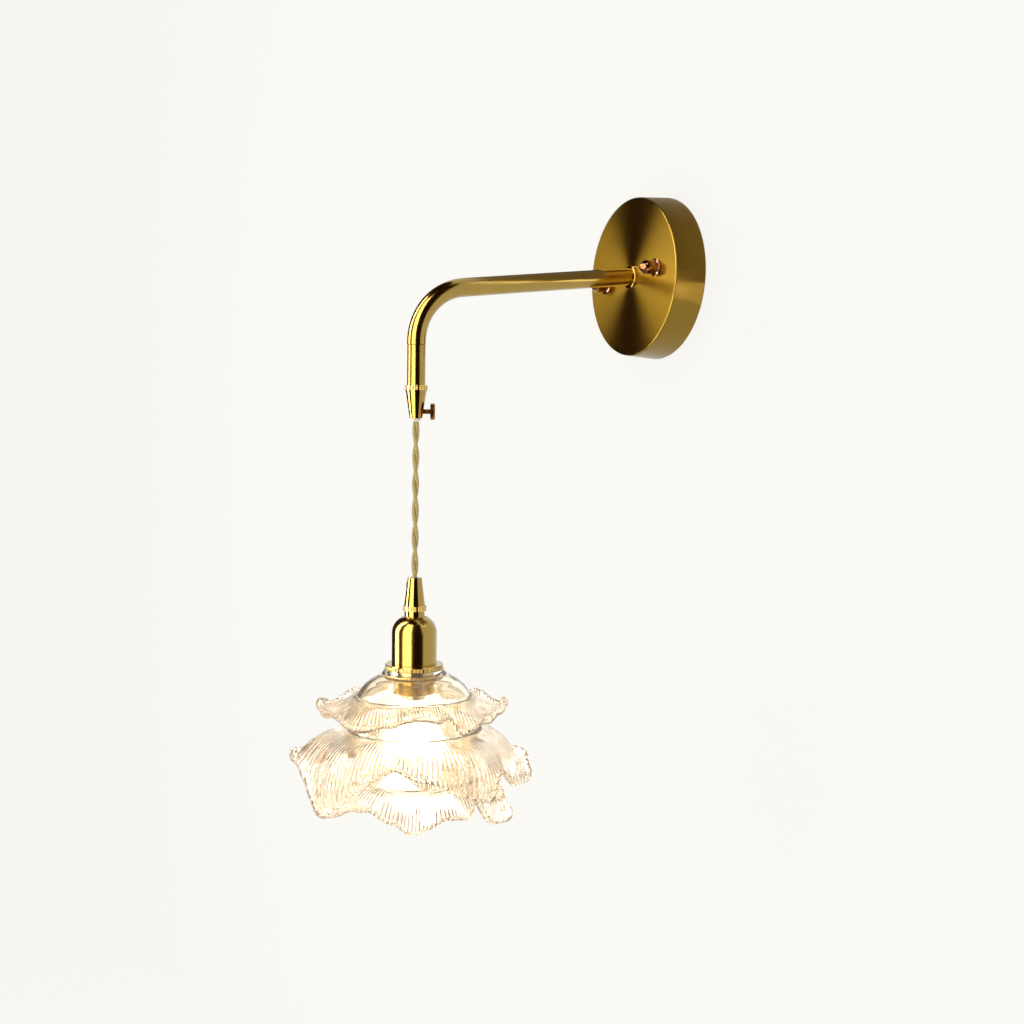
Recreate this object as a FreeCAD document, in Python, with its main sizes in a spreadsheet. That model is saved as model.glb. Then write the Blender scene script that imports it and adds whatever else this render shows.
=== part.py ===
"""Hanging pendant wall sconce: a brass canopy and bent arm, a twisted cord and a glass flower shade.

Millimetres, +Z up. The origin is the centre of the canopy's back, on the wall plane Y = 0.
The arm reaches out along -Y, and the pendant hangs plumb below the end of the arm.
"""

import FreeCAD, Part
import math
import os

import Sketcher

Vector = FreeCAD.Vector
Rotation = FreeCAD.Rotation
Placement = FreeCAD.Placement

# Driving dimensions in millimetres; those named angle or heading are in degrees.
SIZES = {
    # canopy cup and what holds it to the wall
    "canopy_back_rad": 60.0,
    "canopy_face_rad": 58.2,
    "canopy_depth": 24.4,
    "canopy_wall": 1.2,
    "canopy_edge": 1.0,
    "bracket_length": 112.0,
    "bracket_width": 18.0,
    "bracket_thick": 1.5,
    "slot_spacing": 92.0,
    "slot_length": 12.0,
    "slot_width": 4.6,
    "cable_hole_rad": 7.0,
    "ear_width": 22.0,
    "ear_drop": 44.0,
    "stud_spacing": 68.0,
    "stud_line_angle": 6.0,
    "stud_rad": 2.0,
    "stud_length": 31.0,
    "stud_nut_flats": 7.0,
    "stud_nut_thick": 3.0,
    "stud_hole_rad": 2.4,
    "cap_nut_rad": 5.2,
    "cap_nut_flange_rad": 6.4,
    "cap_nut_flange": 2.2,
    "cap_nut_length": 15.0,
    "cap_nut_dome": 5.0,
    "cap_nut_dome_rad": 8.3,
    "cap_nut_tip_rad": 1.0,
    # terminal block inside the canopy
    "block_width": 30.0,
    "block_height": 20.0,
    "block_depth": 12.0,
    "block_drop": 20.0,
    "block_pole_pitch": 9.0,
    "block_screw_rad": 1.9,
    "block_screw_length": 7.0,
    "earth_screw_offset": 20.0,
    "earth_screw_rad": 3.6,
    "earth_screw_rim": 1.2,
    "earth_screw_head": 3.2,
    # arm
    "arm_rad": 6.5,
    "arm_wall": 1.0,
    "arm_tail": 16.0,
    "arm_set_start": 26.3,
    "arm_set_rad": 30.0,
    "arm_slope_angle": 6.65,
    "arm_bend_rad": 39.3,
    "arm_reach": 197.8,
    "arm_foot": 56.8,
    "collar_rad": 8.75,
    "collar_thick": 2.6,
    "collar_edge": 0.9,
    "washer_rad": 11.0,
    "washer_thick": 1.2,
    "arm_nut_flats": 18.0,
    "arm_nut_thick": 4.0,
    # drop sleeve, ring and cord grip at the foot of the arm
    "sleeve_rad": 6.3,
    "sleeve_bore_rad": 3.8,
    "sleeve_spigot_rad": 5.45,
    "sleeve_spigot": 3.2,
    "sleeve_foot": 84.5,
    "sleeve_thread_rad": 5.0,
    "sleeve_thread_end": 94.0,
    "seam_bevel": 0.4,
    "edge_bevel": 0.5,
    "ring_rad": 7.85,
    "ring_foot": 88.1,
    "grip_top_rad": 7.25,
    "grip_mouth_rad": 4.4,
    "grip_mouth": 107.4,
    "grip_bore_rad": 3.1,
    "bush_rad": 2.6,
    "bush_top": 105.0,
    "bush_foot": 109.6,
    "bush_taper": 0.2,
    "bush_lip": 0.8,
    "screw_height": 102.6,
    "screw_heading": 63.1,
    "screw_rad": 1.7,
    "screw_hole_rad": 1.76,
    "pad_rad": 1.5,
    "pad_face": 2.8,
    "pad_length": 1.3,
    "head_rad": 5.75,
    "head_start": 10.1,
    "head_thick": 2.8,
    "coin_slot_width": 1.0,
    "coin_slot_depth": 0.8,
    # cord
    "cord_rad": 2.5,
    "flex_start": 13.0,
    "feed_top": 57.4,
    "feed_foot": 109.8,
    "drop_start": 115.0,
    "drop_end": 232.0,
    "lead_rad": 0.9,
    "lead_bend_rad": 6.0,
    "lead_pitch": 2.2,
    # grip and cap on top of the lampholder
    "lower_grip_top": 217.8,
    "lower_grip_top_rad": 4.9,
    "lower_grip_foot": 237.4,
    "lower_grip_foot_rad": 7.3,
    "lower_grip_bore_rad": 2.6,
    "grub_height": 223.0,
    "grub_rad": 1.5,
    "grub_length": 3.3,
    "grub_gap": 0.05,
    "lower_ring_rad": 8.15,
    "lower_ring_foot": 241.2,
    "neck_rad": 7.1,
    "cap_top": 244.9,
    "cap_rad": 15.75,
    "cap_wall": 0.9,
    "cap_dome_rad": 12.2,
    "cap_shoulder": 256.6,
    "cap_foot": 278.3,
    "nipple_rad": 5.0,
    "nipple_bore_rad": 3.5,
    "nipple_top": 233.0,
    "nipple_foot": 251.0,
    "nipple_nut_thick": 3.0,
    "nipple_nut_flats": 12.0,
    "cap_screw_height": 259.5,
    "cap_screw_rad": 1.0,
    "cap_screw_length": 2.4,
    "cap_screw_spread": 55.0,
    "cap_screw_heading": 85.0,
    "cap_screw_inside": 1.0,
    # lampholder
    "barrel_top": 262.0,
    "barrel_foot": 299.7,
    "barrel_rad": 14.8,
    "barrel_wall": 1.0,
    "holder_top": 264.0,
    "holder_foot": 298.5,
    "holder_floor": 280.4,
    "holder_bore_rad": 8.4,
    "shell_rad": 7.9,
    "shell_wall": 0.5,
    "shell_foot": 297.5,
    "contact_thick": 0.9,
    "contact_rad": 2.6,
    "holder_post_offset": 8.0,
    "holder_post_rad": 2.2,
    "holder_post_top": 258.0,
    "core_clear": 1.0,
    "core_splay": 3.0,
    # rings that clamp the shade
    "shade_ring_rad": 20.3,
    "upper_ring_foot": 281.6,
    "lower_ring_top": 285.2,
    "lower_ring_end": 289.6,
    # bulb
    "bulb_contact_top": 281.5,
    "bulb_contact_rad": 2.3,
    "bulb_screw_top": 283.4,
    "bulb_screw_rad": 6.9,
    "bulb_tip_rad": 4.0,
    "bulb_thread_top": 285.4,
    "bulb_thread_foot": 298.5,
    "bulb_collar_top": 300.0,
    "bulb_screw_foot": 304.0,
    "globe_rad": 22.5,
    "globe_centre": 337.5,
    "globe_neck_rad": 8.0,
    "globe_throat_rad": 11.0,
    "globe_glass": 1.0,
    # glass flower shade
    "glass_thick": 3.2,
    "shade_neck_rad": 15.2,
    "shade_neck_top": 281.6,
    "shade_neck_foot": 285.2,
    "shade_plate_rad": 20.7,
    "shade_recess_rad": 20.6,
    "petal_thick": 3.0,
}

# The shade's three tiers of petals. Root is where a tier leaves the bell, as (radius, depth below the
# origin). Rims are points round its edge: heading, radius, depth, and how far the petal bows upwards
# between root and rim, as a share of that distance. High rims are petals' gaps and low ones their tips.
TIERS = {
    "upper": {
        "root": (39.0, 301.0),
        "rims": [
            (-92, 66.0, 307.0, -0.04), (-78, 63.0, 311.0, -0.05), (-64, 58.5, 310.0, -0.02),
            (-42, 62.5, 313.5, 0.0), (-22, 58.5, 310.0, 0.05), (-4, 57.0, 306.0, 0.1),
            (10, 57.0, 305.5, 0.1), (17, 57.0, 307.5, 0.06), (24, 55.5, 304.5, 0.0),
            (32, 56.5, 315.0, 0.0), (42, 58.0, 314.5, 0.0), (56, 59.0, 312.5, -0.05),
            (72, 61.5, 310.5, -0.08), (88, 65.5, 307.0, -0.1), (104, 61.0, 311.0, -0.05),
            (122, 57.0, 306.0, 0.0), (140, 64.0, 311.0, 0.0), (160, 60.0, 313.0, 0.0),
            (178, 56.0, 305.0, 0.05), (198, 63.0, 312.0, 0.0), (216, 62.0, 309.0, 0.0),
            (236, 56.0, 306.0, 0.0), (252, 60.5, 311.0, -0.02),
        ],
    },
    "middle": {
        "root": (44.6, 324.0),
        "rims": [
            (-92, 85.0, 342.5, 0.12), (-79, 79.0, 348.0, 0.16), (-66, 77.0, 359.0, 0.2),
            (-52, 78.0, 368.5, 0.22), (-42, 76.5, 361.0, 0.22), (-33, 75.0, 351.0, 0.2),
            (-22, 72.5, 341.5, 0.16), (-9, 70.0, 335.0, 0.1), (0, 70.0, 340.5, 0.16),
            (9, 69.0, 342.5, 0.2), (20, 67.0, 350.0, 0.22), (33, 69.5, 356.0, 0.22),
            (47, 72.5, 357.0, 0.2), (58, 69.0, 346.0, 0.12), (68, 71.5, 354.5, 0.1),
            (80, 77.5, 358.5, 0.09), (92, 81.5, 354.5, 0.09), (106, 75.0, 344.0, 0.12),
            (122, 78.0, 360.0, 0.18), (140, 80.0, 366.0, 0.2), (156, 72.0, 344.0, 0.14),
            (176, 78.0, 362.0, 0.2), (194, 77.0, 366.0, 0.2), (208, 70.0, 342.0, 0.12),
            (226, 78.0, 360.0, 0.18), (242, 79.0, 362.0, 0.2), (255, 75.0, 346.0, 0.12),
        ],
    },
    "lower": {
        "root": (42.4, 357.5),
        "rims": [
            (-92, 62.0, 371.0, 0.1), (-80, 66.5, 376.5, 0.1), (-70, 66.0, 378.5, 0.1),
            (-61, 64.0, 375.5, 0.1), (-48, 63.5, 369.5, 0.1), (-34, 62.0, 365.0, 0.1),
            (-22, 59.5, 369.5, 0.1), (-12, 57.0, 376.5, 0.12), (0, 56.0, 381.0, 0.12),
            (11, 58.5, 376.0, 0.12), (22, 61.5, 371.0, 0.1), (32, 61.0, 372.0, 0.1),
            (41, 60.0, 369.0, 0.1), (50, 56.0, 366.0, 0.1), (60, 58.0, 380.0, 0.14),
            (69, 62.5, 385.5, 0.14), (79, 67.5, 380.5, 0.14), (89, 61.0, 369.0, 0.1),
            (104, 64.0, 378.0, 0.12), (120, 65.0, 384.0, 0.14), (136, 57.0, 368.0, 0.1),
            (156, 62.0, 382.0, 0.12), (174, 60.0, 384.0, 0.12), (190, 56.0, 368.0, 0.1),
            (208, 63.0, 380.0, 0.12), (226, 63.0, 383.0, 0.12), (244, 57.0, 368.0, 0.1),
        ],
    },
}
# Heading of the side of the shade that petal headings are counted from, anticlockwise from +X.
FRONT_HEADING = -22.0
# Bell of the shade from its neck to its foot, as (radius, depth) of the outer wall. Below the shoulder,
# the inner wall is a wall's thickness further in and a little lower.
BELL = [
    (21.2, 283.0), (23.4, 285.6), (27.5, 288.2), (31.5, 290.6), (37.0, 295.8), (42.5, 306.0),
    (46.0, 325.0), (45.5, 345.0), (43.5, 362.0),
]
BELL_SHOULDER = 3
BELL_DROP = 0.4
# How far a cutter reaches past the wall that it cuts.
OVERCUT = 1.0

os.makedirs("parts", exist_ok=True)
doc = FreeCAD.newDocument("pendant_wall_sconce")
sheet = doc.addObject("Spreadsheet::Sheet", "dims")
for row, (alias, number) in enumerate(SIZES.items(), start=1):
    sheet.set("A%d" % row, alias)
    sheet.set("B%d" % row, str(number))
    sheet.setAlias("B%d" % row, alias)
doc.recompute()

parts = []


class Size:
    """A length that carries its value and the sheet expression that gives it."""

    def __init__(self, value, text):
        self.value = value
        self.text = text

    def __add__(self, other):
        other = as_size(other)
        return Size(self.value + other.value, "(%s + %s)" % (self.text, other.text))

    def __sub__(self, other):
        other = as_size(other)
        return Size(self.value - other.value, "(%s - %s)" % (self.text, other.text))

    def __mul__(self, other):
        other = as_size(other)
        return Size(self.value * other.value, "(%s * %s)" % (self.text, other.text))

    def __neg__(self):
        return Size(-self.value, "(-1 * %s)" % self.text)


def as_size(number):
    """A plain number as a Size, or the Size itself."""
    if isinstance(number, Size):
        return number
    return Size(float(number), repr(float(number)))


def dim(alias):
    """The Size of one cell of the sheet."""
    return Size(SIZES[alias], "dims." + alias)


def down(alias):
    """The height of something that hangs, from its depth below the origin."""
    return -dim(alias)


def plane(body, role):
    """One of a body's own origin planes."""
    return [item for item in body.Origin.OriginFeatures if item.Role == role][0]


def new_body(label):
    """An empty body, listed as a part."""
    body = doc.addObject("PartDesign::Body", label)
    body.Label = label
    parts.append(body)
    return body


def new_sketch(body, name, role="XZ_Plane", offset=None):
    """An empty sketch on one of the body's origin planes, moved along and in it by offset."""
    sketch = body.newObject("Sketcher::SketchObject", name)
    sketch.AttachmentSupport = [(plane(body, role), "")]
    sketch.MapMode = "FlatFace"
    if offset:
        sketch.AttachmentOffset = Placement(Vector(*[step.value for step in offset]), Rotation())
        for axis, step in zip("xyz", offset):
            sketch.setExpression("AttachmentOffset.Base." + axis, step.text)
    return sketch


def bind(sketch, constraint, size):
    """Add a constraint whose value comes from the sheet."""
    index = sketch.addConstraint(constraint)
    sketch.setExpression("Constraints[%d]" % index, size.text)


def arc_between(start, end, radius):
    """Arc from start to end; a negative radius turns clockwise. Says whether it runs backwards."""
    backwards = radius < 0
    first, last = (end, start) if backwards else (start, end)
    chord = last - first
    half = chord.Length / 2
    rise = math.sqrt(max(radius * radius - half * half, 0.0))
    side = Vector(-chord.y, chord.x, 0).normalize()
    centre = (first + last) * 0.5 + side * rise
    begin = math.atan2(first.y - centre.y, first.x - centre.x)
    finish = math.atan2(last.y - centre.y, last.x - centre.x)
    if finish < begin:
        finish += 2 * math.pi
    circle = Part.Circle(centre, Vector(0, 0, 1), abs(radius))
    return Part.ArcOfCircle(circle, begin, finish), backwards


def draw_outline(sketch, outline):
    """Draw a closed outline of (x, y) or (x, y, radius of the arc that leaves this point) Sizes."""
    corners = [(as_size(point[0]), as_size(point[1])) for point in outline]
    spots = [Vector(x.value, y.value, 0) for x, y in corners]
    count = len(outline)
    ends = []
    for index, point in enumerate(outline):
        start = spots[index]
        end = spots[(index + 1) % count]
        if len(point) == 3:
            curve, backwards = arc_between(start, end, as_size(point[2]).value)
        else:
            curve, backwards = Part.LineSegment(start, end), False
        edge = sketch.addGeometry(curve, False)
        ends.append((edge, 2, 1) if backwards else (edge, 1, 2))
    for index in range(count):
        edge, first, last = ends[index]
        following = ends[(index + 1) % count]
        sketch.addConstraint(Sketcher.Constraint("Coincident", edge, last, following[0], following[1]))
    for (edge, first, last), (x, y), point in zip(ends, corners, outline):
        bind(sketch, Sketcher.Constraint("DistanceX", -1, 1, edge, first, x.value), x)
        bind(sketch, Sketcher.Constraint("DistanceY", -1, 1, edge, first, y.value), y)
        if len(point) == 3:
            radius = as_size(point[2])
            size = radius if radius.value > 0 else -radius
            bind(sketch, Sketcher.Constraint("Radius", edge, size.value), size)


def draw_circle(sketch, x, y, radius):
    """Draw a circle centred at (x, y)."""
    x, y = as_size(x), as_size(y)
    circle = Part.Circle(Vector(x.value, y.value, 0), Vector(0, 0, 1), radius.value)
    edge = sketch.addGeometry(circle, False)
    bind(sketch, Sketcher.Constraint("DistanceX", -1, 1, edge, 3, x.value), x)
    bind(sketch, Sketcher.Constraint("DistanceY", -1, 1, edge, 3, y.value), y)
    bind(sketch, Sketcher.Constraint("Radius", edge, radius.value), radius)


def draw_box(sketch, left, low, right, high):
    """Draw a rectangle from its four limits."""
    draw_outline(sketch, [(left, low), (right, low), (right, high), (left, high)])


def revolve(body, name, outline, offset=None, cut=False):
    """Turn an outline of (radius, height) about the body's Z, or about that line moved by offset."""
    sketch = new_sketch(body, name + "_outline", "XZ_Plane", offset)
    draw_outline(sketch, outline)
    kind = "PartDesign::Groove" if cut else "PartDesign::Revolution"
    turned = body.newObject(kind, name)
    turned.Profile = sketch
    turned.ReferenceAxis = (sketch, ["V_Axis"])
    turned.Angle = 360
    doc.recompute()
    return turned


def pad(body, name, sketch, length, back=False):
    """Raise a sketch into a solid along its normal."""
    raised = body.newObject("PartDesign::Pad", name)
    raised.Profile = sketch
    raised.Length = length.value
    raised.setExpression("Length", length.text)
    raised.Reversed = back
    doc.recompute()
    return raised


def pocket(body, name, sketch, length, back=False):
    """Cut a sketch out of the body, and make sure that it removes something."""
    before = body.Shape.Volume
    cut = body.newObject("PartDesign::Pocket", name)
    cut.Profile = sketch
    cut.Length = length.value
    cut.setExpression("Length", length.text)
    cut.Reversed = back
    doc.recompute()
    if body.Shape.Volume > before - 0.01:
        raise ValueError("%s of %s cuts nothing" % (name, body.Label))
    return cut


def mirror(body, name, feature, role="YZ_Plane"):
    """Repeat a feature on the other side of one of the body's origin planes."""
    repeated = body.newObject("PartDesign::Mirrored", name)
    repeated.Originals = [feature]
    repeated.MirrorPlane = (plane(body, role), [""])
    body.Tip = repeated
    doc.recompute()
    return repeated


def round_edge(body, feature, edge_rad, height, size):
    """Round the ring edge of a turned piece that has this radius and height."""
    for number, edge in enumerate(feature.Shape.Edges, start=1):
        ring = isinstance(edge.Curve, Part.Circle)
        if ring and abs(edge.Curve.Radius - edge_rad.value) < 0.001:
            if abs(edge.Curve.Center.z - height.value) < 0.001:
                rounded = body.newObject("PartDesign::Fillet", feature.Name + "_round")
                rounded.Base = (feature, ["Edge%d" % number])
                rounded.Radius = size.value
                rounded.setExpression("Radius", size.text)
                doc.recompute()
                return rounded
    raise ValueError("no such edge on " + body.Label)


def on_wall(body):
    """Turn a body so that its Z points out of the wall, towards -Y, and its Y points up."""
    body.Placement = Placement(Vector(0, 0, 0), Rotation(Vector(1, 0, 0), 90))


def on_stud_line(body):
    """As on_wall, and turned about the canopy's axis so that the studs stand on their sloping line."""
    tilt = Rotation(Vector(0, 1, 0), -SIZES["stud_line_angle"])
    body.Placement = Placement(Vector(0, 0, 0), tilt * Rotation(Vector(1, 0, 0), 90))


def draw_stud_circles(sketch, radius):
    """Draw a circle at each stud, in a sketch on the wall."""
    slope = math.radians(SIZES["stud_line_angle"])
    for side in (-0.5, 0.5):
        draw_circle(sketch, dim("stud_spacing") * (side * math.cos(slope)),
                    dim("stud_spacing") * (side * math.sin(slope)), radius)


def under_arm(body):
    """Move a body onto the plumb line below the end of the arm."""
    body.Placement = Placement(Vector(0, -SIZES["arm_reach"], 0), Rotation())
    body.setExpression("Placement.Base.y", "-dims.arm_reach")


def across_cord(body, heading, height_alias):
    """Lay a body's Z level, on a heading out from the plumb line, at a depth below the origin."""
    turn = Rotation(Vector(0, 0, 1), heading) * Rotation(Vector(0, 1, 0), 90)
    body.Placement = Placement(Vector(0, -SIZES["arm_reach"], -SIZES[height_alias]), turn)
    body.setExpression("Placement.Base.y", "-dims.arm_reach")
    body.setExpression("Placement.Base.z", "-dims." + height_alias)


def turned_piece(label, outline, place):
    """A piece that is one turned outline."""
    body = new_body(label)
    revolve(body, label + "_turn", outline)
    place(body)
    return body


def tube_outline(bore, outside, low, high):
    """Outline of a plain tube or disc between two heights."""
    return [(bore, low), (outside, low), (outside, high), (bore, high)]


def hexagon(sketch, flats, middle=0):
    """Draw a hexagon, given its size across the flats and its middle's place along X."""
    corner = flats * (0.5 / math.cos(math.pi / 6))
    points = []
    for turn in range(6):
        angle = math.radians(60 * turn)
        points.append((corner * round(math.cos(angle), 9) + middle, corner * round(math.sin(angle), 9)))
    draw_outline(sketch, points)


def make_hex_nut(label, flats, bore, place, height, thick, middle=0):
    """A hexagonal nut with its upper face at a height, and its mirror image if it is off the middle."""
    body = new_body(label)
    sketch = new_sketch(body, label + "_outline", "XY_Plane", (as_size(0), as_size(0), height))
    hexagon(sketch, flats, middle)
    draw_circle(sketch, middle, 0, bore)
    nut = pad(body, label + "_pad", sketch, thick, back=True)
    if isinstance(middle, Size):
        mirror(body, label + "_pair", nut)
    place(body)


# ---- wall side -------------------------------------------------------------------------------


def make_wall_bracket():
    """Steel crossbar against the wall: two wall slots, two stud holes and an ear for the terminals."""
    body = new_body("wall_bracket")
    sketch = new_sketch(body, "bar_outline", "XY_Plane")
    half_bar = dim("bracket_length") * 0.5
    half_width = dim("bracket_width") * 0.5
    half_ear = dim("ear_width") * 0.5
    ear_low = -dim("ear_drop")
    draw_outline(sketch, [
        (-half_bar, -half_width), (-half_ear, -half_width),
        (-half_ear, ear_low), (half_ear, ear_low),
        (half_ear, -half_width), (half_bar, -half_width),
        (half_bar, half_width), (-half_bar, half_width),
    ])
    pad(body, "bar", sketch, dim("bracket_thick"))
    holes = new_sketch(body, "round_holes", "XY_Plane")
    draw_circle(holes, 0, 0, dim("cable_hole_rad"))
    draw_stud_circles(holes, dim("stud_rad"))
    pocket(body, "bored", holes, dim("bracket_thick"), back=True)
    slot = new_sketch(body, "wall_slot", "XY_Plane")
    slot_rad = dim("slot_width") * 0.5
    straight = dim("slot_length") * 0.5 - slot_rad
    middle = dim("slot_spacing") * 0.5
    left = middle - straight
    right = middle + straight
    draw_outline(slot, [
        (left, -slot_rad), (right, -slot_rad, slot_rad), (right + slot_rad, 0, slot_rad),
        (right, slot_rad), (left, slot_rad, slot_rad), (left - slot_rad, 0, slot_rad),
    ])
    cut = pocket(body, "slotted", slot, dim("bracket_thick"), back=True)
    mirror(body, "both_slots", cut)
    on_wall(body)


def pair_of_turned(label, outline):
    """Two like turned pieces on the two studs."""
    body = new_body(label)
    offset = (dim("stud_spacing") * 0.5, as_size(0), as_size(0))
    turned = revolve(body, label + "_turn", outline, offset)
    mirror(body, label + "_pair", turned)
    on_stud_line(body)
    return body


def make_studs_and_nuts():
    """Two M4 studs in the bracket, the nuts that lock them, and the brass cap nuts on the canopy."""
    zero = as_size(0)
    pair_of_turned("bracket_studs", tube_outline(zero, dim("stud_rad"), zero, dim("stud_length")))
    lock_top = dim("bracket_thick") + dim("stud_nut_thick")
    stud_place = dim("stud_spacing") * 0.5
    make_hex_nut("stud_nuts", dim("stud_nut_flats"), dim("stud_rad"), on_stud_line, lock_top,
                 dim("stud_nut_thick"), stud_place)
    face = dim("canopy_depth")
    waist = face + dim("cap_nut_flange")
    crown = face + dim("cap_nut_length")
    pair_of_turned("cap_nuts", [
        (dim("stud_rad"), face),
        (dim("cap_nut_flange_rad"), face),
        (dim("cap_nut_flange_rad"), waist),
        (dim("cap_nut_rad"), waist + dim("edge_bevel")),
        (dim("cap_nut_rad"), crown - dim("cap_nut_dome"), dim("cap_nut_dome_rad")),
        (dim("cap_nut_tip_rad"), crown - dim("edge_bevel")),
        (0, crown),
        (0, dim("stud_length")),
        (dim("stud_rad"), dim("stud_length")),
    ])


def make_canopy_cup():
    """Spun brass cup over the bracket, open to the wall, with holes for the arm and the two studs."""
    body = new_body("canopy_cup")
    depth = dim("canopy_depth")
    wall = dim("canopy_wall")
    turned = revolve(body, "cup_turn", [
        (dim("arm_rad"), depth - wall),
        (dim("canopy_face_rad") - wall, depth - wall),
        (dim("canopy_back_rad") - wall, 0),
        (dim("canopy_back_rad"), 0),
        (dim("canopy_face_rad"), depth),
        (dim("arm_rad"), depth),
    ])
    round_edge(body, turned, dim("canopy_face_rad"), depth, dim("canopy_edge"))
    holes = new_sketch(body, "stud_holes", "XY_Plane", (as_size(0), as_size(0), depth))
    draw_stud_circles(holes, dim("stud_hole_rad"))
    pocket(body, "stud_bores", holes, wall + OVERCUT)
    on_wall(body)


def make_terminal_block():
    """Three-pole terminal block on the bracket's ear, with its clamp screws and the earth screw."""
    body = new_body("terminal_block")
    sketch = new_sketch(body, "block_outline", "XY_Plane", (as_size(0), as_size(0), dim("bracket_thick")))
    half = dim("block_width") * 0.5
    top = -dim("block_drop")
    draw_box(sketch, -half, top - dim("block_height"), half, top)
    pad(body, "block", sketch, dim("block_depth"))
    wells = new_sketch(body, "screw_wells", "XY_Plane", (as_size(0), as_size(0), block_face()))
    for pole in (-1, 0, 1):
        draw_circle(wells, dim("block_pole_pitch") * pole, block_middle(), dim("block_screw_rad"))
    pocket(body, "wells", wells, dim("block_screw_length"))
    ports = new_sketch(body, "wire_ports", "XZ_Plane", (as_size(0), as_size(0), dim("block_drop")))
    for pole in (-1, 1):
        draw_circle(ports, dim("block_pole_pitch") * pole, port_height(), dim("lead_rad"))
    pocket(body, "ports", ports, dim("block_height") * 0.25, back=True)
    on_wall(body)
    screws = new_body("terminal_screws")
    heads = new_sketch(screws, "screw_outline", "XY_Plane", (as_size(0), as_size(0), block_face()))
    for pole in (-1, 0, 1):
        draw_circle(heads, dim("block_pole_pitch") * pole, block_middle(), dim("block_screw_rad"))
    pad(screws, "screws", heads, dim("block_screw_length"), back=True)
    on_wall(screws)
    earth = new_body("earth_screw")
    offset = (dim("earth_screw_offset"), as_size(0), as_size(0))
    revolve(earth, "earth_turn", [
        (0, dim("bracket_thick")),
        (dim("earth_screw_rad"), dim("bracket_thick")),
        (dim("earth_screw_rad"), dim("bracket_thick") + dim("earth_screw_rim")),
        (0, dim("bracket_thick") + dim("earth_screw_head")),
    ], offset)
    on_wall(earth)


def block_face():
    """Distance of the terminal block's front from the wall."""
    return dim("bracket_thick") + dim("block_depth")


def block_middle():
    """Height of the terminal block's middle."""
    return -dim("block_drop") - dim("block_height") * 0.5


def port_height():
    """Distance of the wire ports from the wall."""
    return dim("bracket_thick") + dim("block_depth") * 0.5


# ---- arm -------------------------------------------------------------------------------------


def arm_route(body, name, start, end_depth):
    """Centre line of the arm: level through the canopy, a slight set, the slope, the bend, the leg."""
    sketch = new_sketch(body, name, "YZ_Plane")
    slope = math.radians(SIZES["arm_slope_angle"])
    set_rad = SIZES["arm_set_rad"]
    bend_rad = SIZES["arm_bend_rad"]
    reach = SIZES["arm_reach"]
    set_start = SIZES["arm_set_start"]
    set_corner = set_start + set_rad * math.tan(slope / 2)
    corner_drop = (reach - set_corner) * math.tan(slope)
    tangent = bend_rad * math.tan((math.pi / 2 - slope) / 2)
    run = Vector(-math.cos(slope), -math.sin(slope), 0)
    set_end = Vector(-set_corner, 0, 0) + run * (set_corner - set_start)
    bend_start = Vector(-reach, -corner_drop, 0) - run * tangent
    bend_end = Vector(-reach, -corner_drop - tangent, 0)
    foot = Vector(-reach, -end_depth.value, 0)
    up = Vector(0, 0, 1)
    set_circle = Part.Circle(Vector(-set_start, -set_rad, 0), up, set_rad)
    bend_circle = Part.Circle(Vector(-reach + bend_rad, bend_end.y, 0), up, bend_rad)
    quarter = math.pi / 2
    for curve in (
        Part.LineSegment(Vector(-start.value, 0, 0), Vector(-set_start, 0, 0)),
        Part.ArcOfCircle(set_circle, quarter, quarter + slope),
        Part.LineSegment(set_end, bend_start),
        Part.ArcOfCircle(bend_circle, quarter + slope, math.pi),
        Part.LineSegment(bend_end, foot),
    ):
        sketch.addGeometry(curve, False)
    for edge in range(4):
        sketch.addConstraint(Sketcher.Constraint("Tangent", edge, 2, edge + 1, 1))
    sketch.addConstraint(Sketcher.Constraint("Horizontal", 0))
    sketch.addConstraint(Sketcher.Constraint("Vertical", 4))
    bind(sketch, Sketcher.Constraint("DistanceX", -1, 1, 0, 1, -start.value), -start)
    sketch.addConstraint(Sketcher.Constraint("PointOnObject", 0, 1, -1))
    bind(sketch, Sketcher.Constraint("DistanceX", -1, 1, 0, 2, -set_start), -dim("arm_set_start"))
    bind(sketch, Sketcher.Constraint("Radius", 1, set_rad), dim("arm_set_rad"))
    bind(sketch, Sketcher.Constraint("Radius", 3, bend_rad), dim("arm_bend_rad"))
    bind(sketch, Sketcher.Constraint("DistanceX", -1, 1, 4, 2, -reach), -dim("arm_reach"))
    bind(sketch, Sketcher.Constraint("DistanceY", -1, 1, 4, 2, -end_depth.value), -end_depth)
    bind(sketch, Sketcher.Constraint("Angle", 2, math.pi + slope), dim("arm_slope_angle") + 180.0)
    doc.recompute()
    return sketch


def sweep_along_arm(label, start, end_depth, radii):
    """A round section carried along the arm's centre line; its volume is section times length."""
    body = new_body(label)
    route = arm_route(body, label + "_route", start, end_depth)
    section = new_sketch(body, label + "_section", "XZ_Plane", (as_size(0), as_size(0), start))
    for radius in radii:
        draw_circle(section, 0, 0, radius)
    doc.recompute()
    pipe = body.newObject("PartDesign::AdditivePipe", label + "_pipe")
    pipe.Profile = section
    pipe.Spine = (route, [])
    doc.recompute()
    area = math.pi * abs(radii[0].value ** 2 - sum(radius.value ** 2 for radius in radii[1:]))
    expected = area * route.Shape.Length
    print("%s: volume %.1f, section times length %.1f" % (label, body.Shape.Volume, expected))
    print("%s: bend radii %.1f and %.1f" % (label, SIZES["arm_set_rad"], SIZES["arm_bend_rad"]))
    return body


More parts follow.
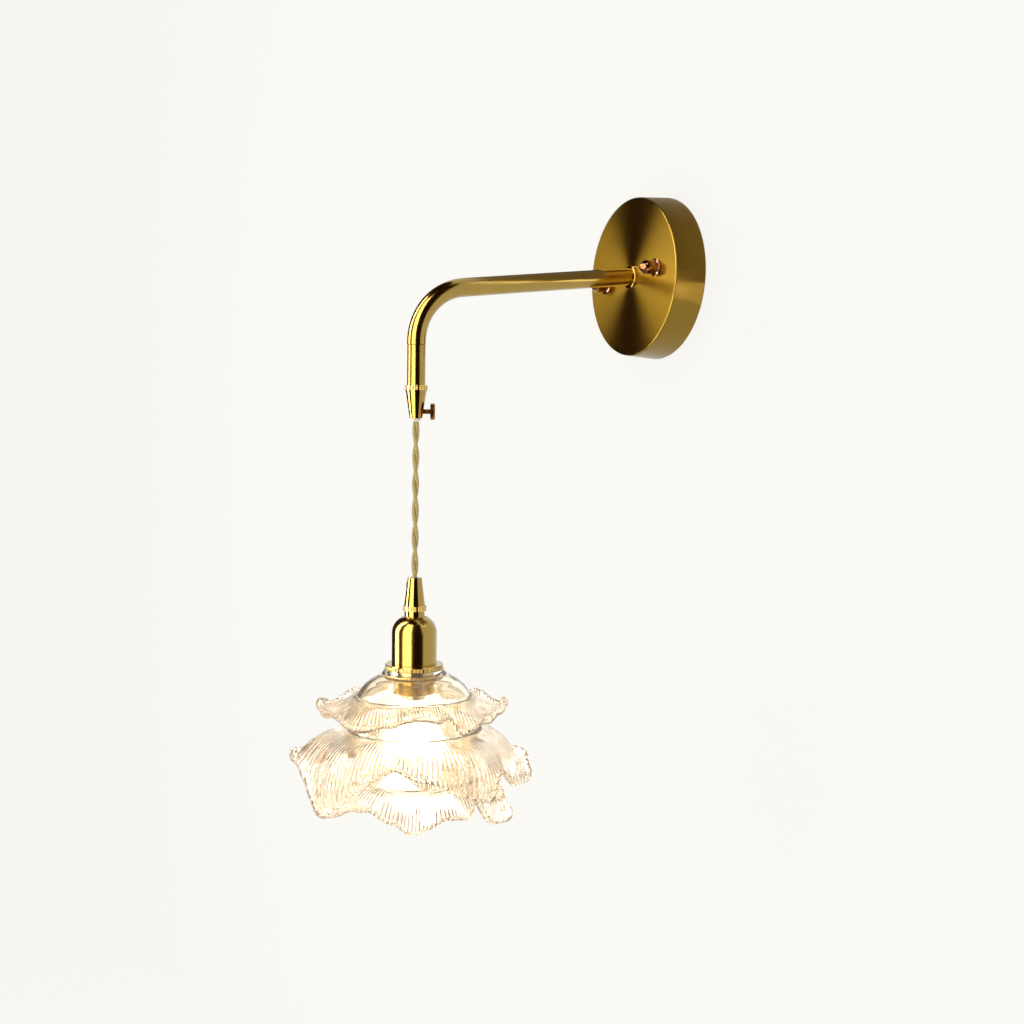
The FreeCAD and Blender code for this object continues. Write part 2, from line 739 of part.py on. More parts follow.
def make_arm():
    """Bent brass tube, its collar outside the canopy, and the washer and nut that hold it inside."""
    bore = dim("arm_rad") - dim("arm_wall")
    sweep_along_arm("arm_tube", dim("arm_tail"), dim("arm_foot"), [dim("arm_rad"), bore])
    face = dim("canopy_depth")
    inside = face - dim("canopy_wall")
    body = new_body("arm_collar")
    ring = tube_outline(dim("arm_rad"), dim("collar_rad"), face, face + dim("collar_thick"))
    turned = revolve(body, "collar_turn", ring)
    round_edge(body, turned, dim("collar_rad"), face + dim("collar_thick"), dim("collar_edge"))
    on_wall(body)
    washer_back = inside - dim("washer_thick")
    washer = tube_outline(dim("arm_rad"), dim("washer_rad"), washer_back, inside)
    turned_piece("arm_washer", washer, on_wall)
    make_hex_nut("arm_nut", dim("arm_nut_flats"), dim("arm_rad"), on_wall, washer_back,
                 dim("arm_nut_thick"))


def make_wiring():
    """The cord inside the arm, and the two leads from its end to the terminal block."""
    sweep_along_arm("arm_flex", dim("flex_start"), dim("feed_top"), [dim("cord_rad")])
    leads = []
    start = SIZES["flex_start"]
    port = port_height().value
    port_top = -SIZES["block_drop"] - SIZES["block_height"] * 0.25
    bend = SIZES["lead_bend_rad"]
    for side in (-1, 1):
        near = side * SIZES["lead_pitch"] / 2
        far = side * SIZES["block_pole_pitch"]
        corner = Vector(near, -port, 0)
        splay = Vector(far - near, 0, port_top + bend * 2)
        knee = corner + splay
        wire = rounded_route([Vector(near, -start, 0), corner, knee, Vector(far, -port, port_top)], bend)
        section = Part.Circle(Vector(near, -start, 0), Vector(0, 1, 0), SIZES["lead_rad"])
        profile = Part.Wire([section.toShape()])
        leads.append(wire.makePipeShell([profile], True, False))
        area = math.pi * SIZES["lead_rad"] ** 2
        print("lead: volume %.2f, section times length %.2f" % (leads[-1].Volume, area * wire.Length))
    body = doc.addObject("Part::Feature", "supply_leads")
    body.Label = "supply_leads"
    body.Shape = Part.Compound(leads)
    parts.append(body)


def rounded_route(points, radius):
    """Straight runs joined by tangent arcs of the radius, or of what the shorter run allows."""
    edges = []
    here = points[0]
    for before, corner, after in zip(points, points[1:], points[2:]):
        come = (corner - before).normalize()
        leave = (after - corner).normalize()
        turn = come.getAngle(leave)
        room = 0.45 * min((corner - before).Length, (after - corner).Length)
        arc_rad = min(radius, room / math.tan(turn / 2))
        reach = arc_rad * math.tan(turn / 2)
        start = corner - come * reach
        end = corner + leave * reach
        bisector = (leave - come).normalize()
        centre = corner + bisector * (arc_rad / math.cos(turn / 2))
        middle = centre - bisector * arc_rad
        edges.append(Part.LineSegment(here, start).toShape())
        edges.append(Part.Arc(start, middle, end).toShape())
        here = end
        print("route: arc radius %.1f" % arc_rad)
    edges.append(Part.LineSegment(here, points[-1]).toShape())
    return Part.Wire(edges)


def make_drop_sleeve():
    """Polished sleeve that continues the leg: spigot in the arm tube, thread for the grip below."""
    turned_piece("drop_sleeve", [
        (dim("sleeve_bore_rad"), down("sleeve_thread_end")),
        (dim("sleeve_thread_rad"), down("sleeve_thread_end")),
        (dim("sleeve_thread_rad"), down("sleeve_foot")),
        (dim("sleeve_rad"), down("sleeve_foot")),
        (dim("sleeve_rad"), down("arm_foot") - dim("seam_bevel")),
        (dim("sleeve_rad") - dim("seam_bevel"), down("arm_foot")),
        (dim("sleeve_spigot_rad"), down("arm_foot")),
        (dim("sleeve_spigot_rad"), down("arm_foot") + dim("sleeve_spigot")),
        (dim("sleeve_bore_rad"), down("arm_foot") + dim("sleeve_spigot")),
    ], under_arm)
    bevel = dim("edge_bevel")
    turned_piece("sleeve_ring", [
        (dim("sleeve_thread_rad"), down("ring_foot")),
        (dim("ring_rad") - bevel, down("ring_foot")),
        (dim("ring_rad"), down("ring_foot") + bevel),
        (dim("ring_rad"), down("sleeve_foot") - bevel),
        (dim("ring_rad") - bevel, down("sleeve_foot")),
        (dim("sleeve_thread_rad"), down("sleeve_foot")),
    ], under_arm)


def make_upper_grip():
    """Tapered cord grip under the ring, with a side hole for its thumbscrew, and its nylon bush."""
    body = new_body("grip_cone_upper")
    revolve(body, "cone_turn", [
        (dim("grip_bore_rad"), down("grip_mouth")),
        (dim("grip_mouth_rad"), down("grip_mouth")),
        (dim("grip_top_rad"), down("ring_foot")),
        (dim("sleeve_thread_rad"), down("ring_foot")),
        (dim("sleeve_thread_rad"), down("sleeve_thread_end")),
        (dim("grip_bore_rad"), down("sleeve_thread_end")),
    ])
    body.Placement = Placement(Vector(0, 0, 0), Rotation(Vector(0, 0, 1), SIZES["screw_heading"]))
    hole = new_sketch(body, "screw_hole", "YZ_Plane")
    draw_circle(hole, 0, down("screw_height"), dim("screw_hole_rad"))
    pocket(body, "screw_bore", hole, dim("grip_top_rad"), back=True)
    heading = Rotation(Vector(0, 0, 1), SIZES["screw_heading"])
    body.Placement = Placement(Vector(0, -SIZES["arm_reach"], 0), heading)
    body.setExpression("Placement.Base.y", "-dims.arm_reach")
    turned_piece("cord_bush", [
        (dim("bush_rad"), down("bush_foot")),
        (dim("grip_bore_rad") - dim("bush_taper"), down("bush_foot")),
        (dim("grip_bore_rad"), down("bush_foot") + dim("bush_lip")),
        (dim("grip_bore_rad"), down("bush_top")),
        (dim("bush_rad"), down("bush_top")),
    ], under_arm)


def place_screw(body):
    """Lay a body's Z along the thumbscrew's axis."""
    across_cord(body, SIZES["screw_heading"], "screw_height")


def make_thumbscrew():
    """Nylon pad that presses on the cord, and the thumbscrew that drives it."""
    pad_end = dim("pad_face") + dim("pad_length")
    pad_outline = tube_outline(as_size(0), dim("pad_rad"), dim("pad_face"), pad_end)
    turned_piece("grip_pad", pad_outline, place_screw)
    body = new_body("thumbscrew")
    head_end = dim("head_start") + dim("head_thick")
    turned = revolve(body, "screw_turn", [
        (0, pad_end),
        (dim("screw_rad"), pad_end),
        (dim("screw_rad"), dim("head_start")),
        (dim("head_rad"), dim("head_start")),
        (dim("head_rad"), head_end),
        (0, head_end),
    ])
    round_edge(body, turned, dim("head_rad"), head_end, dim("edge_bevel"))
    slot = new_sketch(body, "coin_slot", "XY_Plane", (as_size(0), as_size(0), head_end))
    half = dim("coin_slot_width") * 0.5
    draw_box(slot, -dim("head_rad") - OVERCUT, -half, dim("head_rad") + OVERCUT, half)
    pocket(body, "coin_slot_cut", slot, dim("coin_slot_depth"))
    place_screw(body)


# ---- cord ------------------------------------------------------------------------------------


def make_hanging_cord():
    """The cord that pays out of the arm, its bend at the mouth, and its straight drop to the holder."""
    solid = as_size(0)
    rad = dim("cord_rad")
    for label, top, foot in (
        ("cord_feed", "feed_top", "feed_foot"),
        ("cord_drop", "drop_start", "drop_end"),
    ):
        body = turned_piece(label, tube_outline(solid, rad, down(foot), down(top)), under_arm)
        expected = math.pi * SIZES["cord_rad"] ** 2 * (SIZES[foot] - SIZES[top])
        print("%s: volume %.1f, section times length %.1f" % (label, body.Shape.Volume, expected))
    pivot = (down("feed_foot") + down("drop_start")) * 0.5
    turned_piece("cord_bend", [(0, pivot - rad, rad), (rad, pivot, rad), (0, pivot + rad)], under_arm)


# ---- lampholder ------------------------------------------------------------------------------


def make_lower_grip():
    """Tapered cord grip above the lampholder, its grub screw, and the ring that locks it."""
    body = new_body("grip_cone_lower")
    revolve(body, "cone_turn", [
        (dim("nipple_rad"), down("lower_grip_foot")),
        (dim("lower_grip_foot_rad"), down("lower_grip_foot")),
        (dim("lower_grip_top_rad"), down("lower_grip_top")),
        (dim("lower_grip_bore_rad"), down("lower_grip_top")),
        (dim("lower_grip_bore_rad"), down("nipple_top")),
        (dim("nipple_rad"), down("nipple_top")),
    ])
    hole = new_sketch(body, "grub_hole", "YZ_Plane")
    draw_circle(hole, 0, down("grub_height"), dim("grub_rad"))
    pocket(body, "grub_bore", hole, dim("lower_grip_foot_rad"), back=False)
    heading = SIZES["screw_heading"]
    body.Placement = Placement(Vector(0, -SIZES["arm_reach"], 0), Rotation(Vector(0, 0, 1), heading))
    body.setExpression("Placement.Base.y", "-dims.arm_reach")
    grub = new_body("grub_screw_lower")
    inner = dim("cord_rad") + dim("grub_gap")
    revolve(grub, "grub_turn", tube_outline(0, dim("grub_rad"), inner, inner + dim("grub_length")))
    across_cord(grub, heading + 180, "grub_height")
    bevel = dim("edge_bevel")
    turned_piece("lower_ring", [
        (dim("nipple_rad"), down("lower_ring_foot")),
        (dim("lower_ring_rad") - bevel, down("lower_ring_foot")),
        (dim("lower_ring_rad"), down("lower_ring_foot") + bevel),
        (dim("lower_ring_rad"), down("lower_grip_foot") - bevel),
        (dim("lower_ring_rad") - bevel, down("lower_grip_foot")),
        (dim("nipple_rad"), down("lower_grip_foot")),
    ], under_arm)
    spacer = tube_outline(dim("nipple_rad"), dim("neck_rad"), down("cap_top"), down("lower_ring_foot"))
    turned_piece("neck_spacer", spacer, under_arm)


def make_socket_cap():
    """Domed brass cap over the lampholder, its hollow nipple with nut, and its two side screws."""
    body = new_body("socket_cap")
    wall = dim("cap_wall")
    dome = dim("cap_dome_rad")
    revolve(body, "cap_turn", [
        (dim("cap_rad") - wall, down("cap_foot")),
        (dim("cap_rad"), down("cap_foot")),
        (dim("cap_rad"), down("cap_shoulder"), dome),
        (dim("neck_rad"), down("cap_top")),
        (dim("nipple_rad"), down("cap_top")),
        (dim("nipple_rad"), down("cap_top") - wall),
        (dim("neck_rad"), down("cap_top") - wall, -(dome - wall)),
        (dim("cap_rad") - wall, down("cap_shoulder")),
    ])
    screws = new_body("cap_screws")
    inner = dim("cap_rad") - wall - dim("cap_screw_inside")
    for number, side in enumerate((-1, 1)):
        turn = Rotation(Vector(0, 1, 0), SIZES["cap_screw_spread"] * side / 2)
        hole = new_sketch(body, "screw_hole_%d" % number, "XZ_Plane")
        hole.AttachmentOffset = Placement(Vector(0, 0, 0), turn)
        draw_circle(hole, 0, down("cap_screw_height"), dim("cap_screw_rad"))
        pocket(body, "screw_bore_%d" % number, hole, dim("cap_rad") + OVERCUT)
        stub = new_sketch(screws, "screw_outline_%d" % number, "XZ_Plane")
        stub.AttachmentOffset = Placement(turn.multVec(Vector(0, 0, -inner.value)), turn)
        draw_circle(stub, 0, down("cap_screw_height"), dim("cap_screw_rad"))
        pad(screws, "screw_%d" % number, stub, dim("cap_screw_length"), back=False)
    heading = Rotation(Vector(0, 0, 1), SIZES["cap_screw_heading"])
    for piece in (body, screws):
        piece.Placement = Placement(Vector(0, -SIZES["arm_reach"], 0), heading)
        piece.setExpression("Placement.Base.y", "-dims.arm_reach")
    bore = dim("nipple_bore_rad")
    nipple = tube_outline(bore, dim("nipple_rad"), down("nipple_foot"), down("nipple_top"))
    turned_piece("socket_nipple", nipple, under_arm)
    make_hex_nut("nipple_nut", dim("nipple_nut_flats"), dim("nipple_rad"), under_arm,
                 down("cap_top") - wall, dim("nipple_nut_thick"))


def make_lampholder():
    """Threaded brass barrel, ceramic holder inside it, screw shell, centre contact and terminals."""
    barrel_bore = dim("barrel_rad") - dim("barrel_wall")
    barrel = tube_outline(barrel_bore, dim("barrel_rad"), down("barrel_foot"), down("barrel_top"))
    turned_piece("socket_barrel", barrel, under_arm)
    body = new_body("holder_body")
    revolve(body, "holder_turn", [
        (0, down("holder_floor")),
        (dim("holder_bore_rad"), down("holder_floor")),
        (dim("holder_bore_rad"), down("holder_foot")),
        (barrel_bore, down("holder_foot")),
        (barrel_bore, down("holder_top")),
        (0, down("holder_top")),
    ])
    under_arm(body)
    posts = new_body("holder_terminals")
    offset = (dim("holder_post_offset"), as_size(0), as_size(0))
    stem = tube_outline(0, dim("holder_post_rad"), down("holder_top"), down("holder_post_top"))
    post = revolve(posts, "post_turn", stem, offset)
    mirror(posts, "post_pair", post)
    under_arm(posts)
    shell_bore = dim("shell_rad") - dim("shell_wall")
    floor = down("holder_floor")
    shell = tube_outline(shell_bore, dim("shell_rad"), down("shell_foot"), floor)
    turned_piece("screw_shell", shell, under_arm)
    contact = tube_outline(0, dim("contact_rad"), floor - dim("contact_thick"), floor)
    turned_piece("centre_contact", contact, under_arm)


def make_holder_cores():
    """The cord's two bared cores, from its end in the nipple to the lampholder's terminals."""
    cores = []
    top = -SIZES["drop_end"]
    foot = -SIZES["holder_post_top"]
    reach = -SIZES["arm_reach"]
    rad = SIZES["lead_rad"]
    for side in (-1, 1):
        near = side * SIZES["lead_pitch"] / 2
        far = side * SIZES["holder_post_offset"]
        waist = -SIZES["nipple_foot"] - SIZES["core_clear"]
        points = [
            Vector(near, reach, top), Vector(near, reach, waist),
            Vector(far, reach, waist - SIZES["core_splay"]), Vector(far, reach, foot),
        ]
        wire = rounded_route(points, SIZES["lead_bend_rad"])
        section = Part.Wire([Part.Circle(points[0], Vector(0, 0, 1), rad).toShape()])
        cores.append(wire.makePipeShell([section], True, False))
    body = doc.addObject("Part::Feature", "holder_cores")
    body.Label = "holder_cores"
    body.Shape = Part.Compound(cores)
    parts.append(body)


def make_shade_rings():
    """The two knurled rings on the barrel that clamp the shade's neck between them."""
    bevel = dim("edge_bevel")
    rad = dim("shade_ring_rad")
    for label, top, foot in (
        ("shade_ring_upper", "cap_foot", "upper_ring_foot"),
        ("shade_ring_lower", "lower_ring_top", "lower_ring_end"),
    ):
        turned_piece(label, [
            (dim("barrel_rad"), down(foot)),
            (rad - bevel, down(foot)),
            (rad, down(foot) + bevel),
            (rad, down(top) - bevel),
            (rad - bevel, down(top)),
            (dim("barrel_rad"), down(top)),
        ], under_arm)


def make_bulb():
    """Small globe bulb: centre contact, screw cap and opal globe."""
    screw_top = down("bulb_screw_top")
    contact = tube_outline(0, dim("bulb_contact_rad"), screw_top, down("bulb_contact_top"))
    turned_piece("bulb_contact", contact, under_arm)
    turned_piece("bulb_screw_cap", [
        (0, down("bulb_screw_foot")),
        (dim("globe_neck_rad"), down("bulb_screw_foot")),
        (dim("globe_neck_rad"), down("bulb_collar_top")),
        (dim("bulb_screw_rad"), down("bulb_thread_foot")),
        (dim("bulb_screw_rad"), down("bulb_thread_top")),
        (dim("bulb_tip_rad"), screw_top),
        (0, screw_top),
    ], under_arm)
    rad = dim("globe_rad")
    glass = dim("globe_glass")
    centre = down("globe_centre")
    neck = dim("globe_neck_rad")
    throat = dim("globe_throat_rad")
    rise = math.sqrt(rad.value ** 2 - throat.value ** 2)
    inner_rise = math.sqrt((rad - glass).value ** 2 - (throat - glass).value ** 2)
    turned_piece("bulb_globe", [
        (0, centre - rad, rad),
        (throat, centre + rise),
        (neck, down("bulb_screw_foot")),
        (neck - glass, down("bulb_screw_foot")),
        (throat - glass, centre + inner_rise, -(rad - glass)),
        (0, centre - rad + glass),
    ], under_arm)


# ---- glass flower shade ----------------------------------------------------------------------


def tier_point(tier, rim, along, side):
    """A point on a tier, between its root and a rim point, on its upper (1) or lower (-1) face."""
    heading, radius, depth, bow = rim
    root = tier["root"]
    out, drop = radius - root[0], depth - root[1]
    arch = (root[0] + out / 2 + 2 * bow * drop, root[1] + drop / 2 - 2 * bow * out)
    rest = 1 - along
    spot = [
        rest * rest * root[i] + 2 * rest * along * arch[i] + along * along * rim[i + 1] for i in (0, 1)
    ]
    slope = [rest * (arch[i] - root[i]) + along * (rim[i + 1] - arch[i]) for i in (0, 1)]
    half = SIZES["petal_thick"] / 2 * side / math.hypot(*slope)
    angle = math.radians(FRONT_HEADING + heading)
    reach = spot[0] + half * slope[1]
    return Vector(reach * math.cos(angle), reach * math.sin(angle), half * slope[0] - spot[1])


def tier_ring(tier, along, side):
    """Closed curve around a tier at one distance from the bell."""
    rims = tier["rims"]
    headings = [rim[0] for rim in rims] + [rims[0][0] + 360]
    points = [tier_point(tier, rim, along, side) for rim in rims]
    curve = Part.BSplineCurve()
    curve.interpolate(Points=points, PeriodicFlag=True, Parameters=headings)
    return Part.Wire([curve.toShape()])


def tier_solid(tier):
    """One tier of petals as a closed skirt: upper and lower faces, joined at the root and the rim."""
    stations = (0.0, 0.25, 0.5, 0.75, 1.0)
    upper = [tier_ring(tier, along, 1) for along in stations]
    lower = [tier_ring(tier, along, -1) for along in stations]
    faces = []
    for rings in (upper, lower):
        faces += Part.makeLoft(rings, False, False).Faces
    for end in (0, -1):
        faces += Part.makeLoft([upper[end], lower[end]], False, True).Faces
    shell = Part.Shell(faces)
    shell.sewShape()
    solid = Part.Solid(shell)
    if solid.Volume < 0:
        solid.reverse()
    return solid


def bell_solid():
    """The shade's turned core: neck plate and bell, open at the foot."""
    thick = SIZES["glass_thick"]
    outer = [Vector(radius, 0, -depth) for radius, depth in BELL]
    inner = [Vector(radius - thick, 0, -depth - BELL_DROP) for radius, depth in BELL[BELL_SHOULDER:-1]]
    inner_foot = Vector(BELL[-1][0] - thick, 0, -BELL[-1][1])
    neck_top = Vector(SIZES["shade_neck_rad"], 0, -SIZES["shade_neck_top"])
    neck_foot = Vector(SIZES["shade_neck_rad"], 0, -SIZES["shade_neck_foot"])
    neck_edge = Vector(SIZES["shade_plate_rad"], 0, -SIZES["shade_neck_top"])
    underside = Vector(SIZES["shade_recess_rad"], 0, -SIZES["shade_neck_foot"])
    outer_curve = Part.BSplineCurve()
    outer_curve.interpolate(outer)
    inner_curve = Part.BSplineCurve()
    inner_curve.interpolate([underside] + inner + [inner_foot])
    edges = [
        Part.LineSegment(neck_foot, neck_top).toShape(),
        Part.LineSegment(neck_top, neck_edge).toShape(),
        Part.LineSegment(neck_edge, outer[0]).toShape(),
        outer_curve.toShape(),
        Part.LineSegment(outer[-1], inner_foot).toShape(),
        inner_curve.toShape(),
        Part.LineSegment(underside, neck_foot).toShape(),
    ]
    face = Part.Face(Part.Wire(edges))
    return face.revolve(Vector(0, 0, 0), Vector(0, 0, 1), 360)


def add_glass(label, solid):
    """One piece of the shade, in place below the arm."""
    body = doc.addObject("Part::Feature", label)
    body.Label = label
    body.Shape = solid
    body.Placement = Placement(Vector(0, -SIZES["arm_reach"], 0), Rotation())
    parts.append(body)


def make_glass_shade():
    """Glass flower: a bell, and three tiers of petals fused to the outside of it."""
    bell = bell_solid()
    add_glass("glass_bell", bell)
    for name, tier in TIERS.items():
        petals = tier_solid(tier).cut(bell)
        print("glass tier %s: volume %.0f, solids %d" % (name, petals.Volume, len(petals.Solids)))
        add_glass("glass_tier_" + name, petals.Solids[0])


def check_and_write():
    """Stop on any failed object or bad shape, then write every part."""
    doc.recompute()
    for item in doc.Objects:
        if "Invalid" in item.State or "Error" in item.State:
            raise ValueError("failed: %s of state %s" % (item.Name, item.State))
    for body in parts:
        if body.Shape.isNull() or not body.Shape.isValid() or body.Shape.Volume <= 0:
            raise ValueError("bad shape: " + body.Label)
        body.Shape.exportStep("parts/%s.step" % body.Label)
    print("%d parts written" % len(parts))


make_wall_bracket()
make_studs_and_nuts()
make_canopy_cup()
make_terminal_block()
make_arm()
make_wiring()
make_drop_sleeve()
make_upper_grip()
make_thumbscrew()
make_hanging_cord()
make_lower_grip()
make_socket_cap()
make_lampholder()
make_holder_cores()
make_shade_rings()
make_bulb()
make_glass_shade()
check_and_write()
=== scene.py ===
"""Looks of a hanging pendant wall sconce: brass canopy and bent arm, twisted cord, glass flower shade.

Metres, +Z up. The origin is the centre of the canopy's back on the wall plane Y = 0, the arm reaches
out along -Y, and the pendant hangs plumb below the arm's end.
"""

import math

import bpy
import numpy
from mathutils import Matrix, Vector, noise


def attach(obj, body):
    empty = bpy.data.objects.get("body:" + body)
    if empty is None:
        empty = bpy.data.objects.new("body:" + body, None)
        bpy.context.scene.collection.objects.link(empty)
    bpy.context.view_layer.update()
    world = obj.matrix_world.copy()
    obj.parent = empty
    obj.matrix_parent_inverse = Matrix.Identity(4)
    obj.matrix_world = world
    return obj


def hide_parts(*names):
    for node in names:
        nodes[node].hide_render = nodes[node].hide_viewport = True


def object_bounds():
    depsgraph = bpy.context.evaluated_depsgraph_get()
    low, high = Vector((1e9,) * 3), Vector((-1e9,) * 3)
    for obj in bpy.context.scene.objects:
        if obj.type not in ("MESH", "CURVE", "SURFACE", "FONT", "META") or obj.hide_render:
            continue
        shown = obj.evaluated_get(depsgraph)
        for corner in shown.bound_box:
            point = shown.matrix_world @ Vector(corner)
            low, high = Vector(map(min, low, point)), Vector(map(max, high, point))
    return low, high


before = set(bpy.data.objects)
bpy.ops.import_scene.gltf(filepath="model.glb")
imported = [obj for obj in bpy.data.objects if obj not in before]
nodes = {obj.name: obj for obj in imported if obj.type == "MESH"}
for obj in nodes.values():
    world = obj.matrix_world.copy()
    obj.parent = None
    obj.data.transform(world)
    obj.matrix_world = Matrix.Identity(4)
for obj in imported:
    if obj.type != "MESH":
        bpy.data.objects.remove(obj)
cad_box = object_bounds()

# ---- camera ----------------------------------------------------------------------------------
# A long lens at about 63 degrees to the arm, a little below the canopy and level with the cord.
CAMERA_PLACE = Vector((0.8154, -0.5420, -0.1091))
CAMERA_YAW = math.radians(62.765)
CAMERA_DOWN = math.radians(4.034)
CAMERA_ROLL = math.radians(0.72)
SENSOR_WIDTH_MM, FOCAL_LENGTH_MM = 36, 44.808

look = Vector((
    -math.sin(CAMERA_YAW) * math.cos(CAMERA_DOWN),
    math.cos(CAMERA_YAW) * math.cos(CAMERA_DOWN),
    -math.sin(CAMERA_DOWN),
))
level_right = Vector((math.cos(CAMERA_YAW), math.sin(CAMERA_YAW), 0))
level_up = level_right.cross(look)
right = math.cos(CAMERA_ROLL) * level_right + math.sin(CAMERA_ROLL) * level_up
up = math.cos(CAMERA_ROLL) * level_up - math.sin(CAMERA_ROLL) * level_right
lens = bpy.data.cameras.new("photo_camera")
lens.sensor_width = SENSOR_WIDTH_MM
lens.lens = FOCAL_LENGTH_MM
camera = bpy.data.objects.new("photo_camera", lens)
turned_to_look = Matrix((right, up, -look)).transposed().to_4x4()
camera.matrix_world = Matrix.Translation(CAMERA_PLACE) @ turned_to_look
bpy.context.scene.collection.objects.link(camera)
bpy.context.scene.camera = camera


# ---- wall bracket, studs and nuts ------------------------------------------------------------
# Slotted bar, threaded studs, hex nuts, all plain screws and the arm's nut and washer: cold-rolled
# steel, zinc plated, which leaves a soft blue-grey metal with a spangle a few millimetres across.
def linear(code):
    """An sRGB hex colour as the linear RGBA that a socket takes."""
    channels = [int(code[start:start + 2], 16) / 255 for start in (1, 3, 5)]
    return [c / 12.92 if c <= 0.04045 else ((c + 0.055) / 1.055) ** 2.4 for c in channels] + [1.0]


def add_node(tree, kind, inputs=None, **properties):
    """One node with its own properties set, and its inputs set to values or linked to sockets."""
    node = tree.nodes.new(kind)
    for name, value in properties.items():
        setattr(node, name, value)
    for name, value in (inputs or {}).items():
        if isinstance(value, bpy.types.NodeSocket):
            tree.links.new(value, node.inputs[name])
        else:
            node.inputs[name].default_value = value
    return node


def start_material(name, **sockets):
    """A material with one Principled shader: its tree, that shader and its object coordinates."""
    material = bpy.data.materials.new(name)
    material.use_nodes = True
    tree = material.node_tree
    shader = tree.nodes["Principled BSDF"]
    for socket, value in sockets.items():
        shader.inputs[socket.replace("_", " ")].default_value = value
    place = add_node(tree, "ShaderNodeTexCoord")
    return material, tree, shader, place.outputs["Object"]


MIX_COLOUR_A, MIX_COLOUR_B, MIX_COLOUR_RESULT = 6, 7, 2


def colour_by(tree, shader, factor, low, high):
    """Gives a shader colours from low to high as a value goes from 0 to 1."""
    mix = add_node(tree, "ShaderNodeMix", {
        "Factor": factor, MIX_COLOUR_A: linear(low), MIX_COLOUR_B: linear(high)}, data_type="RGBA")
    tree.links.new(mix.outputs[MIX_COLOUR_RESULT], shader.inputs["Base Color"])


def finish_nodes(names, material):
    """Gives CAD nodes their real material."""
    for name in names:
        mesh = nodes[name].data
        mesh.materials.clear()
        mesh.materials.append(material)


PER_MM = 1000.0

zinc, tree, shader, place = start_material("zinc_plated_steel", Metallic=1.0, Roughness=0.38)
spangle = add_node(tree, "ShaderNodeTexVoronoi", {"Vector": place, "Scale": PER_MM / 2.5})
colour_by(tree, shader, spangle.outputs["Distance"], "#8E949A", "#B9BDC0")
finish_nodes([
    "wall_bracket", "bracket_studs", "stud_nuts", "arm_washer", "arm_nut",
    "earth_screw", "terminal_screws",
], zinc)

# ---- terminal block and supply leads ---------------------------------------------------------
# Three-pole block moulded in white nylon, as are the cord's pad and bush, and three leads to the arm:
# their covers are soft extruded PVC in the wiring colours blue, green and brown.
nylon, tree, shader, place = start_material("moulded_nylon", Roughness=0.42)
shader.inputs["Subsurface Weight"].default_value = 0.15
shader.inputs["Subsurface Radius"].default_value = (0.002, 0.0018, 0.0014)
flow = add_node(tree, "ShaderNodeTexNoise", {"Vector": place, "Scale": PER_MM / 6})
colour_by(tree, shader, flow.outputs["Fac"], "#E9E5DA", "#F4F1E8")
finish_nodes(["terminal_block", "grip_pad", "cord_bush"], nylon)


def stretched(tree, value, low, high, to_low=0.0, to_high=1.0):
    """A value stretched so that low and high become to_low and to_high, as a socket."""
    return add_node(tree, "ShaderNodeMapRange", {
        "Value": value, "From Min": low, "From Max": high, "To Min": to_low, "To Max": to_high,
    }).outputs["Result"]


LEAD_PITCH = 0.009
GREEN_FROM, BROWN_FROM = 0.35, 0.7
pvc, tree, shader, place = start_material("extruded_pvc", Roughness=0.45)
across = add_node(tree, "ShaderNodeSeparateXYZ", {"Vector": place})
ramp = add_node(tree, "ShaderNodeValToRGB", {
    "Fac": stretched(tree, across.outputs["X"], -LEAD_PITCH, LEAD_PITCH)})
ramp.color_ramp.interpolation = "CONSTANT"
ramp.color_ramp.elements[0].color = linear("#2F5C93")
ramp.color_ramp.elements[1].position = BROWN_FROM
ramp.color_ramp.elements[1].color = linear("#6B4226")
ramp.color_ramp.elements.new(GREEN_FROM).color = linear("#6F8F2E")
tree.links.new(ramp.outputs["Color"], shader.inputs["Base Color"])
finish_nodes(["supply_leads"], pvc)


# ---- canopy cup ------------------------------------------------------------------------------
# Spun brass cup, turned on a lathe against a fine abrasive and lacquered. The rings of the abrasive
# stretch every highlight across them, so the face shows two bright wedges and two dark ones.
def bumped(tree, shader, height, distance, strength):
    """Gives a shader the relief of a height socket."""
    bump = add_node(tree, "ShaderNodeBump", {
        "Height": height, "Distance": distance, "Strength": strength})
    tree.links.new(bump.outputs["Normal"], shader.inputs["Normal"])


def turned_lines(tree, shader, place, centre, axis, spacing, depth):
    """Gives a shader fine lathe lines about an axis through centre, and returns them as a socket."""
    local = add_node(tree, "ShaderNodeVectorMath", {0: place, 1: centre}, operation="SUBTRACT")
    along, out = [
        add_node(tree, "ShaderNodeVectorMath", {0: local.outputs[0], 1: axis}, operation=kind)
        for kind in ("DOT_PRODUCT", "CROSS_PRODUCT")
    ]
    radius = add_node(tree, "ShaderNodeVectorMath", {0: out.outputs[0]}, operation="LENGTH")
    reach = add_node(tree, "ShaderNodeMath", {0: radius.outputs["Value"], 1: along.outputs["Value"]})
    lines = add_node(tree, "ShaderNodeTexNoise", {
        "W": reach.outputs[0], "Scale": 1 / spacing, "Detail": 3.0,
    }, noise_dimensions="1D")
    bumped(tree, shader, lines.outputs["Fac"], depth, 0.6)
    return lines.outputs["Fac"]


